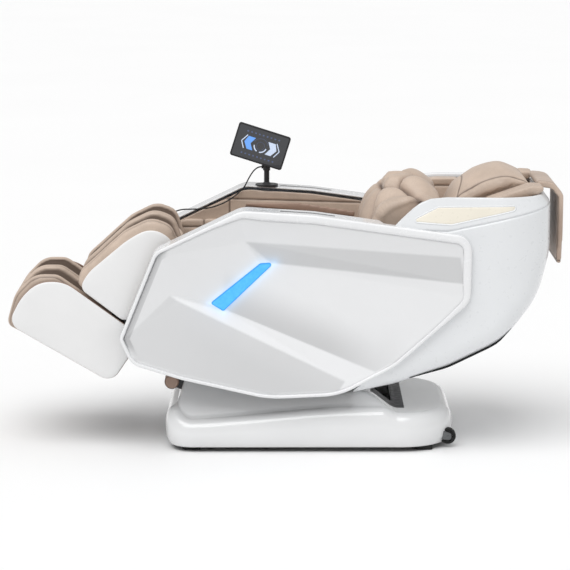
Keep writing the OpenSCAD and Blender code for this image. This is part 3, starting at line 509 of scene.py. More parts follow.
def panel_depth(points, rim):
    """The facets, with a chamfer inside the rim at the front."""
    depth = facets_rounded(points)[0]
    edge = distance_to(points, rim)
    depth += 9 * np.clip(1 - edge / FRONT_BEVEL, 0, 1) * front_share(points)
    return depth + 2 * ramp(6, 0, edge)


def front_share(points):
    """1 along the rim's upper front edge."""
    return ramp(-395, -440, points[:, 0]) * ramp(350, 400, points[:, 1])


def panel_painted_shade(points, rim):
    """Painted shade on the panel: its paint greyer in the front bevel, below the overhang and towards the
    ridge, where shade falls.
    """
    light = facets_rounded(points)[1]
    edge = distance_to(points, rim)
    # painted shade in the front bevel
    light -= 0.21 * ramp(FRONT_BEVEL, FRONT_BEVEL - 4, edge) * front_share(points)
    x, z = points.T
    # painted shade below the overhang, deepening towards the ridge, and a little under the ridge
    over_ridge = z - np.interp(x, (-208, 314, 378), (515, 297, 334))
    low = ramp(170, 5, over_ridge) * ramp(0, 4, over_ridge) * ramp(-230, -190, x)
    light -= 0.27 * low * ramp(480, 120, x)
    under = np.interp(x, (-371, 209), (550, 266)) - z
    return light - 0.05 * ramp(0, 120, under) * ramp(-500, -100, x)


def column_grid(outline, columns, rows):
    """A grid of points over an outline that crosses each upright line twice."""
    x = np.linspace(outline[:, 0].min() + 0.3, outline[:, 0].max() - 0.3, columns)
    low, high = np.empty(columns), np.empty(columns)
    for i, at in enumerate(x):
        cross = [a[1] + (b[1] - a[1]) * (at - a[0]) / (b[0] - a[0])
                 for a, b in zip(outline, np.roll(outline, -1, 0))
                 if (a[0] - at) * (b[0] - at) <= 0 and a[0] != b[0]]
        low[i], high[i] = min(cross), max(cross)
    v = np.linspace(0, 1, rows)[:, None]
    return np.column_stack([np.tile(x, rows), (low * (1 - v) + high * v).ravel()])


def add_inlay(word, side, rim):
    columns, rows = (330, 180)
    at = column_grid(rim, columns, rows)
    points = np.column_stack([at[:, 0], side * (SIDE_Y - panel_depth(at, rim)), at[:, 1]])
    panel = add_piece(f"{word}_facet_panel", points, grid_faces(rows, columns), INLAY, "seat_body",
                      flip=side > 0)
    # Painted light: a pool of the strip's light painted on the panel as emission, fading away from the strip
    halo = distance_to(at, STRIP)
    halo[inside(at, STRIP)] = 0
    paint(panel, "glow", 0.34 * np.exp(-(halo / 15) ** 1.4) + 0.05 * np.exp(-halo / 50))
    # painted shade of the facets, which the inlay's material reads as the lightness of its paint
    paint(panel, "light", panel_painted_shade(at, rim))
    stands_for(f"{word}_inlay")


def add_light(word, side, rim):
    """The lit lens: a rounded slab that lies on the slope at the deep end of the pocket."""
    outline = resampled(rounded([(*corner, 8) for corner in STRIP], 5), 4)
    normal = inward(outline)
    middle = outline.mean(axis=0)
    rings = [(outline + normal * inset, lift) for inset, lift in
             ((0, -3), (0, 1.5), (0.8, 2.6), (2.4, 3.4), (6, 3.7))]
    rings.append((middle + (rings[-1][0] - middle) * 0.45, 3.7))
    points = np.vstack([np.column_stack([ring[:, 0], side * (SIDE_Y - panel_depth(ring, rim) + lift),
                                         ring[:, 1]]) for ring, lift in rings])
    count = len(outline)
    strip = add_piece(f"{word}_light", points, capped(len(rings), count), LIGHT, "seat_body", sharp=50,
                      flip=side > 0)
    paint(strip, "edge", np.repeat([1, 1, 1, 0.7, 0, 0], count))
    stands_for("light_strips")


shell_ring = resampled(SIDE_OUTLINE, 5)
panel_rim = shell_ring + inward(shell_ring) * PANEL_INSET * rim_width(shell_ring)[:, None]
for word, side in SIDES:
    add_side_shell(word, side)
    add_inlay(word, side, panel_rim)
    add_light(word, side, panel_rim)

# ---- rear shell ----

PIVOT = np.array((60.0, 450.0))
REAR_Y, REAR_X, REAR_CORNER = 368, 956, 225
SWEEP_INNER, SWEEP_OUTER = 292, 478
EDGE_ROUND = 75
BOTTOM_COLUMNS = 31
SHELL_CURVE = rounded([
    (REAR_X, 1200, 0), (REAR_X, 700, 200), (890, 540, 300), (760, 395, 300), (575, 305, 300),
    (383, 242, 200), (240, 211.6, 0), (-200, 118, 0), (-200, 1200, 0),
], 14)
CURVE_X, CURVE_Z = SHELL_CURVE[1:-2][::-1].T
TOP_LINE = ((200, 803), (377, 806), (400, 830), (440, 866), (470, 888), (505, 902), (560, 907), (REAR_X, 904))
GROOVE_LINE = ((200, 780), (389, 796), (450, 795), (565, 792), (700, 820), (800, 841), (880, 857),
               (REAR_X, 872))
WINDOW = rounded([(436, 826, 6), (530, 874, 22), (800, 877, 5), (794, 864, 5), (575, 816, 22)])
CHAMFER = 24


def rear_distance(p):
    """Signed distance to the outside of the tub with its bottom edges rounded."""
    flat = p[:, [0, 2]]
    profile = distance_to(flat, SHELL_CURVE)
    profile[inside(flat, SHELL_CURVE)] *= -1
    corner = np.column_stack([p[:, 0] - (REAR_X - REAR_CORNER), np.abs(p[:, 1]) - (REAR_Y - REAR_CORNER)])
    plan = (np.linalg.norm(np.maximum(corner, 0), axis=1)
            + np.minimum(corner.max(axis=1), 0) - REAR_CORNER)
    return soft_max(profile, plan, EDGE_ROUND)


def slope_of(distance, p, step=0.8):
    """Unit gradient of a distance field."""
    grad = np.column_stack([distance(p + d) - distance(p - d) for d in np.eye(3) * step])
    return grad / np.maximum(np.linalg.norm(grad, axis=1), 1e-9)[:, None]


def interpolated(line, x):
    return np.interp(x, *np.array(line, float).T)


def rear_plan():
    """The tub's outline from above, from the left front round the rear to the right front."""
    straight = np.linspace(241, REAR_X - REAR_CORNER, 62)[:-1]
    side_part = np.column_stack([straight, np.full(len(straight), -REAR_Y)])
    turn = np.linspace(-math.pi / 2, 0, 40)
    corner = np.column_stack([REAR_X - REAR_CORNER + REAR_CORNER * np.cos(turn),
                              -(REAR_Y - REAR_CORNER) + REAR_CORNER * np.sin(turn)])
    half = np.vstack([side_part, corner])
    across = np.linspace(-1, 1, BOTTOM_COLUMNS)[1:-1] * (REAR_Y - REAR_CORNER)
    rear = np.column_stack([np.full(len(across), REAR_X), across])
    return half, np.vstack([half, rear, (half * (1, -1))[::-1]])


def add_rear_shell():
    """The tub: its wall and bottom are drawn on to the rounded form, then the rim is rolled inwards."""
    half, plan = rear_plan()
    x = plan[:, 0]
    low, high = np.interp(x, CURVE_X, CURVE_Z), interpolated(TOP_LINE, x)
    groove = interpolated(GROOVE_LINE, x)
    shares = np.concatenate([np.linspace(0, 0.24, 14), np.linspace(0.27, 1, 22)])
    levels = [low + (groove - 9 - low) * v for v in shares]
    levels += [groove + v for v in (-5, -2.5, 0, 2.5, 5)]
    levels += [groove + 8 + (high - groove - 16) * v for v in np.linspace(0, 1, 16)]
    levels += [high - v for v in (5, 2)]
    wall = np.stack([np.column_stack([plan, z]) for z in levels])
    under_x = np.repeat(half[:, 0], BOTTOM_COLUMNS)
    bottom = np.column_stack([under_x, np.outer(half[:, 1], np.linspace(1, -1, BOTTOM_COLUMNS)).ravel(),
                              np.interp(under_x, CURVE_X, CURVE_Z)])
    points = np.vstack([wall.reshape(-1, 3), bottom])
    for _ in range(7):
        points -= rear_distance(points)[:, None] * slope_of(rear_distance, points)
    count = len(plan)
    wall_points = points[:len(levels) * count].reshape(len(levels), count, 3)
    # upper chamfer, groove and rolled top edge, all drawn inwards in plan
    normal = slope_of(rear_distance, wall_points[-1] * (1, 1, 0) + (0, 0, 850))[:, :2]
    fade = ramp(380, 470, wall_points[..., 0])
    above = wall_points[..., 2] - groove
    rise = np.clip(above / np.maximum(high - groove, 1), 0, 1)
    inward_by = CHAMFER * rise * ramp(0, 6, above) * (0.35 + 0.65 * fade)
    inward_by += 5.5 * np.exp(-(above / 3.4) ** 2) * fade
    wall_points[..., :2] -= inward_by[..., None] * normal
    top = wall_points[-1].copy()
    lips = []
    for inset, drop in ((3, -1.2), (7, -2), (12, -1.6), (16, 0.5), (18, 4), (18.5, 12), (18.5, 30)):
        lip = top.copy()
        lip[:, :2] -= normal * inset
        lip[:, 2] = high - drop - 1.5
        lips.append(lip)
    rows = np.vstack([wall_points.reshape(-1, 3), np.vstack(lips)])
    everything = np.vstack([rows, points[len(levels) * count:]])
    everything[:, 1] = np.clip(everything[:, 1], -REAR_Y, REAR_Y)
    # the front edge follows the arc that clears the seat
    z = everything[:, 2] - PIVOT[1]
    reach = SWEEP_INNER + (SWEEP_OUTER - SWEEP_INNER) * ramp(-8, 8, z)
    edge = PIVOT[0] + np.sqrt(np.maximum(reach ** 2 - z ** 2, 0))
    everything[:, 0] = np.maximum(everything[:, 0], edge)
    faces = grid_faces(len(levels) + len(lips), count)
    offset = len(rows)
    faces += [[i + offset for i in face][::-1] for face in grid_faces(len(half), BOTTOM_COLUMNS)]
    shell = add_piece("rear_tub", everything, faces, REAR_WHITE)
    faced_outward(shell, weld=True)
    shell.data.set_sharp_from_angle(angle=math.radians(48))
    walled(shell, 0.005)
    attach(shell, "backrest")
    stands_for("rear_shell")


def on_chamfer(at, side, out=0.0):
    """Points of the side view laid on the upper chamfer of the rear shell."""
    groove, high = interpolated(GROOVE_LINE, at[:, 0]), interpolated(TOP_LINE, at[:, 0])
    rise = np.clip((at[:, 1] - groove) / (high - groove), 0, 1)
    fade = ramp(380, 470, at[:, 0])
    half = REAR_Y - CHAMFER * rise * (0.35 + 0.65 * fade)
    beyond = np.maximum(at[:, 0] - (REAR_X - REAR_CORNER), 0)
    half -= REAR_CORNER - np.sqrt(REAR_CORNER ** 2 - beyond ** 2)
    return np.column_stack([at[:, 0], side * (half + out), at[:, 1]])


def add_window(word, side):
    """The cream lens in its frame, let into the chamfer."""
    outline = resampled(WINDOW, 5)
    normal = inward(outline)

    def add_ring(name, material, *profile):
        points = np.vstack([on_chamfer(outline + normal * inset, side, out) for inset, out in profile])
        return add_piece(name, points, grid_faces(len(profile), len(outline), True), material, "backrest",
                         flip=side < 0)

    bezel = add_ring(f"{word}_window_frame", REAR_WHITE, (-4.5, -1.0), (-4.0, 0.9), (-2.6, 1.6), (-1.0, 1.4),
                     (0.6, 0.2), (1.2, -1.6))
    lens_rim = add_ring(f"{word}_window_rim", CREAM, (0.6, -0.5), (1.4, 0.4), (3, 0.9), (6, 1.0))
    at = column_grid(outline + normal * 6, 60, 12)
    lens_face = add_piece(f"{word}_window", on_chamfer(at, side, 1.0), grid_faces(12, 60), CREAM, "backrest",
                          flip=side > 0)
    for piece in (lens_rim, lens_face):
        stands_for("wing_windows")


def add_gasket():
    """The dark sealing strip under the tub, drawn in to a thin line that fades out at both ends."""
    strip = placed("rear_gasket", NODES["shell_gasket"].data.copy())
    strip.data.materials.clear()
    strip.data.materials.append(BLACK)
    co = coordinates(strip)
    allowed = 6 * ramp(436, 560, co[:, 0]) * ramp(800, 740, co[:, 0]) - 2
    co -= slope_of(rear_distance, co) * np.clip(rear_distance(co) - allowed, 0, None)[:, None]
    set_coordinates(strip, co)
    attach(strip, "backrest")
    stands_for("shell_gasket")


add_rear_shell()
add_gasket()
for word, side in SIDES:
    add_window(word, side)

# ---- base ----

BASE_FRONT, BASE_REAR, BASE_Y, DECK_Z, PLINTH_LOW = -425, 600, 348, 138, 17
TOP_INSET = 42
FRONT_CORNER, REAR_PLAN_CORNER = 60, 150
SIDE_RINGS = [(40, 137.8), (33, 136), (25, 132), (17, 126), (10, 117), (5, 106), (1.6, 93), (0, 78),
              (0.6, 60), (3, 44), (7, 31), (11, 23), (14, 18), (20, 17)]
SLOTS = [(-50, 50, 176, 212), (-50, 50, -212, -176), (130, 290, -48, 48), (310, 380, -140, 140)]
# Where the deck is painted dark grey: the opening behind the hump and the shade in and around it
PAINTED_SHADE_X, PAINTED_SHADE_Y = (306, 428), 232


def base_half_width(x):
    """Half width of the deck's outline at x."""
    front, rear, half = BASE_FRONT + TOP_INSET, BASE_REAR - TOP_INSET, BASE_Y - TOP_INSET
    r0, r1 = FRONT_CORNER, REAR_PLAN_CORNER
    cut = np.where(x < front + r0, r0 - np.sqrt(np.maximum(r0 ** 2 - (front + r0 - x) ** 2, 0)), 0.0)
    cut += np.where(x > rear - r1, r1 - np.sqrt(np.maximum(r1 ** 2 - (x - rear + r1) ** 2, 0)), 0.0)
    return half - cut


def base_height(x, y):
    """The hump with sloping sides over the deck, which falls gently to the rear."""
    deck = DECK_Z - 46 * ramp(260, -400, x) - 3 * ramp(300, 560, x)
    ridge = 252 - (x + 352) * 0.0752
    flank = deck + 4 + (318 - np.abs(y)) * 1.42
    nose = 128 + (x + 392) * 3.2
    tail = 203 - (x - 300) * 0.78
    hump = soft_min(soft_min(ridge, flank, 16), soft_min(nose, tail, 16), 16)
    return soft_max(hump, deck, 14)


def even_with(values, low, high, step):
    """Steps from low to high that include all the values between."""
    stops = sorted({low, high, *[v for v in values if low < v < high]})
    parts = [np.linspace(a, b, max(2, math.ceil((b - a) / step) + 1))[:-1] for a, b in zip(stops, stops[1:])]
    return np.concatenate(parts + [[high]])


def add_base():
    x = even_with([v for s in SLOTS for v in s[:2]], BASE_FRONT + TOP_INSET, BASE_REAR - TOP_INSET, 9)
    half = BASE_Y - TOP_INSET
    y = even_with([v for s in SLOTS for v in s[2:]], -half, half, 9)
    width = base_half_width(x)
    gx = np.repeat(x[:, None], len(y), axis=1)
    gy = y[None, :] / half * width[:, None]
    points = np.column_stack([gx.ravel(), gy.ravel(), base_height(gx, gy).ravel()])
    centre = points.reshape(len(x), len(y), 3)
    middle = (centre[:-1, :-1] + centre[1:, 1:]) / 2
    keep = np.ones(middle.shape[:2], bool)
    mx, my = middle[..., 0], middle[..., 1]
    for x0, x1, y0, y1 in SLOTS:
        keep &= ~((mx > x0) & (mx < x1) & (my > y0) & (my < y1))
    faces = [f for f, k in zip(grid_faces(len(x), len(y)), keep.ravel()) if k]
    # Painted shade: deck faces behind the hump take the dark grey plastic to stand for the opening there and
    # its shade
    painted_dark_deck = ((mx > PAINTED_SHADE_X[0]) & (mx < PAINTED_SHADE_X[1]) & (np.abs(my) < PAINTED_SHADE_Y))[keep]
    n, m = len(x), len(y)
    loop = ([i * m for i in range(n)] + [(n - 1) * m + j for j in range(1, m)]
            + [i * m + m - 1 for i in range(n - 2, -1, -1)] + [j for j in range(m - 2, 0, -1)])
    edge = points[loop]
    normal = inward(edge[:, :2])
    start, all_points = len(points), [points]
    for inset, z in SIDE_RINGS:
        ring = edge.copy()
        ring[:, :2] -= normal * (TOP_INSET - inset)
        ring[:, 2] = PLINTH_LOW + (z - PLINTH_LOW) * (edge[:, 2] - PLINTH_LOW) / (DECK_Z - PLINTH_LOW)
        all_points.append(ring)
    count = len(loop)
    for i in range(count):
        j = (i + 1) % count
        faces.append([loop[j], loop[i], start + i, start + j])
    faces += [[start + v for v in face][::-1] for face in grid_faces(len(SIDE_RINGS), count, True)]
    cover = add_piece("base_housing", np.vstack(all_points), faces, BASE_WHITE)
    cover.data.materials.append(DARK_GREY)
    index = np.zeros(len(cover.data.polygons), np.int32)
    index[:len(painted_dark_deck)] = painted_dark_deck
    cover.data.polygons.foreach_set("material_index", index)
    faced_outward(cover)
    walled(cover, 0.004)
    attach(cover, "base")
    stands_for("base_cover")


add_base()

# ---- soft forms ----

def soft_form(name, node, voxel=7.0, relax=8, swell=0.0, cap=10.0, inset=0.0):
    """A rounded soft form in the space of a CAD solid: remeshed, relaxed and, if asked, blown up as cloth."""
    piece = placed(name, NODES[node].data.copy())
    piece.data.materials.clear()
    remesh = piece.modifiers.new("form", "REMESH")
    remesh.mode = "VOXEL"
    remesh.voxel_size = voxel * MM
    apply_modifiers(piece)
    if inset:
        set_coordinates(piece, coordinates(piece) - inset * normals_of(piece))
    relaxed(piece, relax)
    if swell:
        inflate(piece, swell, cap)
    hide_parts(node)
    return piece


def relaxed(piece, times):
    smooth = piece.modifiers.new("relax", "SMOOTH")
    smooth.factor = 0.5
    smooth.iterations = times
    apply_modifiers(piece)


def inflate(piece, pressure, cap, frames=20):
    """Blows the form up as cloth; no point moves further than cap."""
    before = coordinates(piece)
    cloth = piece.modifiers.new("cloth", "CLOTH")
    cloth.settings.use_pressure = True
    cloth.settings.uniform_pressure_force = pressure
    cloth.settings.effector_weights.gravity = 0
    cloth.point_cache.frame_start, cloth.point_cache.frame_end = 1, frames
    for f in range(1, frames + 1):
        bpy.context.scene.frame_set(f)
    apply_modifiers(piece)
    bpy.context.scene.frame_set(1)
    move = coordinates(piece) - before
    length = np.linalg.norm(move, axis=1)
    move *= np.minimum(1, cap / np.maximum(length, 1e-9))[:, None]
    set_coordinates(piece, before + move)


def finer(piece):
    subdivide = piece.modifiers.new("finer", "SUBSURF")
    subdivide.levels = subdivide.render_levels = 1
    apply_modifiers(piece)


def sewn(piece, seams, brown=None, depth=3.0, width=3.2, puff=0.0, pitch=40.0):
    """Draws the surface in along the seams, puffs it up between them, and paints both.
    seams gives each point's distance to the nearest seam in millimetres."""
    co, normal = coordinates(piece), normals_of(piece)
    d = seams(co)
    lift = puff * np.sqrt(np.clip(d / pitch, 0, 1)) - depth * np.exp(-(d / width) ** 2)
    set_coordinates(piece, co + normal * lift[:, None])
    paint(piece, "seam", np.clip(1.7 * np.exp(-(d / (width * 0.68)) ** 2), 0, 1))
    paint(piece, "brown", np.zeros(len(co)) if brown is None else brown(co))


def kept_within(piece, outline, margin):
    """Draws the points that come nearer than margin to an outline of the side view back inside it."""
    co = coordinates(piece)
    ring = resampled(outline, 6)
    normal = inward(ring)
    flat = co[:, [0, 2]]
    near = np.concatenate([np.argmin(((part[:, None] - ring[None]) ** 2).sum(-1), axis=1)
                           for part in np.array_split(flat, 1 + len(flat) // 2000)])
    deep = ((flat - ring[near]) * normal[near]).sum(-1)
    co[:, [0, 2]] += normal[near] * np.clip(margin - deep, 0, None)[:, None]
    set_coordinates(piece, co)


def nearest(*distances):
    return np.min(np.stack([np.abs(d) for d in distances]), axis=0)


def dress(piece, material, body, slot="leather", fill=0.7):
    piece.data.materials.clear()
    piece.data.materials.append(material)
    piece.data.polygons.foreach_set("use_smooth", [True] * len(piece.data.polygons))
    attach(piece, body)


# ---- legs ----

LEG_ANGLE, LEG_ORIGIN, LEG_Y = math.radians(39), (-400, 620), 240
CALF_OUTLINE = rounded([
    (-284, 165, 30), (-225, 189, 240), (-33, 192, 400), (52, 172, 85), (84, 90, 90), (20, -28, 40),
    (-237, -28, 28)])
FOOT_OUTLINE = rounded([
    (-562, 226, 45), (-467, 269, 200), (-385, 274, 125), (-312, 219, 125), (-243, -42, 22),
    (-298, -132, 45), (-413, -167, 45)])
CALF_PAD = rounded([
    (-283, 180, 20), (-245, 206, 40), (-33, 218, 90), (66, 196, 60), (104, 130, 50), (70, 40, 20),
    (36, 30, 0), (-246, 30, 0)])
FOOT_PAD = rounded([
    (-572, 224, 18), (-482, 286, 60), (-385, 298, 70), (-322, 246, 30), (-258, 20, 0), (-480, 20, 0)])
WELL = (36, 172)
PIPING_Y, PIPING_RADIUS, PIPING_SIDES = 229, 3.4, 10


def from_leg(u, y, v):
    """Points along the legs (u towards the knee, v out of the padding) in the chair's frame."""
    c, s = math.cos(LEG_ANGLE), math.sin(LEG_ANGLE)
    return np.column_stack([LEG_ORIGIN[0] + u * c - v * s, y, LEG_ORIGIN[1] + u * s + v * c])


def along(p, origin, angle):
    """Points of the chair's frame as (up a slope, across it, out of it)."""
    c, s = math.cos(angle), math.sin(angle)
    x, z = p[:, 0] - origin[0], p[:, 2] - origin[1]
    return x * c + z * s, p[:, 1], -x * s + z * c


def add_leg_panel(name, outline, side, body, node):
    """A crowned moulded panel with a rounded edge."""
    ring = resampled(outline, 6)
    normal = inward(ring)
    rings = [(ring + normal * inset, out) for inset, out in
             ((3, -8), (0.6, -8), (0, -6), (0.2, -4), (1.2, -2.2), (3, -0.9), (6, 0), (11, 0.8), (19, 1.6))]
    middle = ring.mean(axis=0)
    inner = rings[-1][0]
    for share in (0.85, 0.7, 0.5, 0.3, 0.12):
        rings.append((middle + (inner - middle) * share, 1.6 + 3.4 * (1 - share ** 2)))
    points = np.vstack([from_leg(at[:, 0], np.full(len(at), side * (LEG_Y + out)), at[:, 1])
                        for at, out in rings])
    panel = add_piece(name, points, capped(len(rings), len(ring)), PANEL_WHITE, body, sharp=60, flip=side < 0)
    stands_for(node)


def add_piping(name, side):
    """The leather cord round the foot unit's panel."""
    ring = resampled(FOOT_OUTLINE, 7)
    normal = inward(ring)
    count = len(ring)
    points = []
    for turn in np.arange(PIPING_SIDES) * 2 * math.pi / PIPING_SIDES:
        at = ring + normal * (1.5 + PIPING_RADIUS * math.cos(turn))
        y = np.full(count, side * (PIPING_Y + PIPING_RADIUS * math.sin(turn)))
        points.append(from_leg(at[:, 0], y, at[:, 1]))
    faces = grid_faces(PIPING_SIDES, count, True)
    last = (PIPING_SIDES - 1) * count
    faces += [[last + i, last + (i + 1) % count, (i + 1) % count, i] for i in range(count)]
    edge = add_piece(name, np.vstack(points), faces, BROWN_LEATHER, flip=side < 0)
    faced_outward(edge)
    paint(edge, "seam", np.zeros(len(edge.data.vertices)))
    paint(edge, "brown", np.full(len(edge.data.vertices), 0.5))
    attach(edge, "foot_unit")
    stands_for("foot_piping")


def add_leg_pad(name, node, outline, body, low_end, rows):
    """Leather padding with two wells: long channels over the knee, wells browner at their low ends."""
    piece = soft_form(name, node, 7.5, 16)
    finer(piece)

    def zone(p):
        """Place along the leg, distance from the middle, depth in the padding, and 1 within a well."""
        u, y, v = along(p, LEG_ORIGIN, LEG_ANGLE)
        y, deep = np.abs(y), distance_to(np.column_stack([u, v]), outline)
        well = ramp(WELL[0] - 3, WELL[0] + 3, y) * ramp(WELL[1] + 3, WELL[1] - 3, y)
        return u, y, deep, well * ramp(9, 16, deep)

    def seams(p):
        u, y, _, well = zone(p)
        long = nearest(y - 208, y - WELL[1] + 2, y - 126, y - 82, y - WELL[0] - 2, y)
        cross = nearest(*[u - at for at in rows]) + 60 * ramp(0.3, 0.1, well)
        return nearest(long, cross)

    def folds(p):
        u, _, deep, well = zone(p)
        low = ramp(14, 34, deep) * ramp(low_end + 70, low_end - 20, u)
        return 0.9 * low * well + 0.18 * well

    sewn(piece, seams, folds, depth=9.0, width=9.0, puff=4.0, pitch=20)
    dress(piece, LEATHER, body)


for word, side in SIDES:
    add_leg_panel(f"{word}_calf_panel", CALF_OUTLINE, side, "calf_unit", "calf_side_panels")
    add_leg_panel(f"{word}_foot_panel", FOOT_OUTLINE, side, "foot_unit", "foot_side_panels")
    add_piping(f"{word}_foot_piping", side)
add_leg_pad("calf_padding", "calf_upholstery", CALF_PAD, "calf_unit", -150, (-225, -180))
add_leg_pad("foot_padding", "foot_upholstery", FOOT_PAD, "foot_unit", -450, (-500, -400))

# ---- seat, arms and back ----

BACK_ANGLE, BACK_ORIGIN = math.radians(21), (460, 650)
BACK_OUT = np.array((-math.sin(BACK_ANGLE), 0, math.cos(BACK_ANGLE)))


def in_back(p):
    return along(p, BACK_ORIGIN, BACK_ANGLE)


def by_place(measure):
    """Lets a function of x, distance from the middle, z and place up the back take points instead."""
    return lambda p: measure(p[:, 0], np.abs(p[:, 1]), p[:, 2], in_back(p)[0])


def quilt(piece, seams, stitch, brown=None, body="backrest", material=LEATHER, **dressing):
    """Sews and dresses a pad; stitch is the depth, width, puff and pitch that sewn takes."""
    finer(piece)
    sewn(piece, by_place(seams), brown and by_place(brown), *stitch)
    dress(piece, material, body, **dressing)


seat = soft_form("seat_pad", "seat_cushion", 8, 10, 4.0, 14, 4)
quilt(seat, lambda x, y, z, u: nearest(y - 152, x + 190, np.hypot(x - 20, y) - 110), (4, 4, 3, 30),
      lambda x, y, z, u: 0.8 * ramp(150, 154, y) * ramp(-190, -186, x), "seat_body")

back = soft_form("back_padding", "back_pad", 8, 6)
quilt(back, lambda x, y, z, u: nearest(y - 70, y - 165, *[u - seam for seam in range(-180, 480, 110)]),
      (4, 4.5, 5, 40))

# Middles of the pillow's lobes, and where their seams meet in a tuft, as (along the back, across it)
LOBES = np.array([(-62, 62), (30, 55), (92, 112), (4, 156)], float)
TUFTS = np.array([(-22, 0), (32, 106)], float)
PILLOW_TOP = 105


def petals(p):
    """Distance to the nearest tuft and to the nearest seam between the lobes."""
    u, y, v = in_back(p)
    at = np.column_stack([u, np.abs(y) + 0.45 * np.clip(PILLOW_TOP - v, 0, None)])
    both = np.vstack([LOBES, LOBES * (1, -1)])
    far = np.sort(np.linalg.norm(at[:, None] - both[None], axis=2), axis=1)
    radius = np.linalg.norm(at[:, None] - TUFTS[None], axis=2).min(axis=1)
    return radius, (far[:, 1] - far[:, 0]) / 2


lumbar = soft_form("flower_pillow", "lumbar_pillow", 8, 24, inset=12)
finer(lumbar)
co, normal = coordinates(lumbar), normals_of(lumbar)
radius, seam = petals(co)
facing = ramp(-0.2, 0.4, normal[:, 2] * math.cos(BACK_ANGLE) - normal[:, 0] * math.sin(BACK_ANGLE))
wrinkle = np.sin(0.35 * co[:, 0] + 0.2 * co[:, 1]) * np.exp(-(radius / 45) ** 2)
crown = (34 * np.sqrt(np.clip(seam / 42, 0, 1)) - 18 * np.exp(-(radius / 22) ** 2)
         - 9 * np.exp(-(seam / 6) ** 2))
lift = crown * (0.75 + 0.25 * facing) + 1.6 * wrinkle * facing
sink = 0.20 * np.clip(in_back(co)[2], 0, None) * np.clip((np.abs(co[:, 1]) - 60) / 120, 0, 1) ** 2
set_coordinates(lumbar, co + normal * lift[:, None] - sink[:, None] * BACK_OUT)
relaxed(lumbar, 2)
above = ramp(60, 0, in_back(co)[2])
paint(lumbar, "seam", np.clip(1.5 * np.exp(-(seam / 3.6) ** 2), 0, 1))
paint(lumbar, "brown", 0.30 * np.exp(-(seam / 9) ** 2) + 0.35 * ramp(20, -70, in_back(co)[0]) * above)
dress(lumbar, LEATHER, "backrest", fill=0.95)

head = soft_form("head_cushion", "head_pillow", 7, 34, 4.0, 8, 7)
finer(head)
co = coordinates(head)
height = in_back(co)[2]
sink = 0.5 * (height - height.min()) * np.clip(np.abs(co[:, 1]) / 165, 0, 1.1) ** 2
set_coordinates(head, co - sink[:, None] * BACK_OUT)
sewn(head, by_place(lambda x, y, z, u: nearest(np.hypot(u - 60, y) - 205, y - 128)), None, 3, 3.4, 2, 40)
dress(head, LEATHER, "backrest", fill=0.85)

leaves = soft_form("shoulder_leaves", "shoulder_flaps", 6, 4)
quilt(leaves, lambda x, y, z, u: nearest(y - 184, y - 218, u - 250 - (y - 150) * 0.6), (5, 4, 3, 18))

flap = soft_form("rear_flap", "back_flap", 6, 4)
quilt(flap, lambda x, y, z, u: nearest(y - 140, z - 655), (2, 3, 1, 20),
      lambda x, y, z, u: 0.08 + 0.30 * ramp(900, 780, z), slot="brown_leather")

wings = soft_form("wing_cushions", "wing_pads", 7, 6)
co = coordinates(wings)
rise = ramp(800, 900, co[:, 2])
limit = REAR_Y - 10 - 34 * rise
co[:, 1] = np.sign(co[:, 1]) * soft_min(np.abs(co[:, 1]), limit, 8)
co[:, 2] = soft_min(co[:, 2], interpolated(TOP_LINE, co[:, 0]) - 14, 12)
co -= slope_of(rear_distance, co) * np.clip(rear_distance(co) + 40 * rise + 12, 0, None)[:, None]
set_coordinates(wings, co)
relaxed(wings, 3)
quilt(wings, lambda x, y, z, u: nearest(z - 868, x - 640, x - 760), (3.5, 3.5, 3, 40))

panels = soft_form("arm_padding", "arm_panels", 6, 3)
kept_within(panels, SIDE_OUTLINE, 17)
quilt(panels, lambda x, y, z, u: nearest(z - 812 + 0.03 * x, x + 205, x + 420), (3, 3.5, 2, 40),
      body="seat_body", fill=0.5)

bags = soft_form("arm_folds", "arm_airbags", 5, 3)
quilt(bags, lambda x, y, z, u: nearest(z - 775 + 0.10 * x, z - 745 + 0.06 * x), (4, 4, 3, 15),
      body="seat_body", material=BROWN_LEATHER, slot="brown_leather")

knees = soft_form("knee_cushions", "knee_pads", 5, 5)
kept_within(knees, SIDE_OUTLINE, 20)
quilt(knees, lambda x, y, z, u: nearest(x + 300, z - 715), (3, 3.5, 3, 30), body="seat_body")

ROLL_AT = (-402, 232)
ROLL_SIDES = 40


def add_roll(name, low, high, radius):
    """A leather-covered roll across the front with rounded ends."""
    rings = [(low + d, radius - c) for d, c in ((0, 24), (0.2, 14), (0.8, 7), (2.5, 3), (5, 1), (9, 0))]
    rings += [(low + (high - low) * v, radius + 0.8 * math.sin(math.pi * v))
              for v in np.linspace(0.1, 0.9, 25)]
    rings += [(low + high - y, r) for y, r in rings[5::-1]]
    turn = np.arange(ROLL_SIDES) * math.pi / 20
    points = np.vstack([np.column_stack([ROLL_AT[0] + r * np.cos(turn), np.full(ROLL_SIDES, y),
                                         ROLL_AT[1] + r * np.sin(turn)]) for y, r in rings])
    faces = capped(len(rings), ROLL_SIDES) + [list(range(ROLL_SIDES))[::-1]]
    roll = add_piece(name, points, faces, BROWN_LEATHER, "base", sharp=60, flip=True)
    paint(roll, "seam", np.exp(-((np.abs(points[:, 1]) - 90) / 1.5) ** 2))
    paint(roll, "brown", np.zeros(len(points)))
    stands_for("front_roll")


add_roll("front_roll_middle", -198, 198, 26)
for word, side in SIDES:
    add_roll(f"{word}_front_roll", *sorted((side * 214, side * 238)), 25)

# ---- CAD parts that keep their shape ----

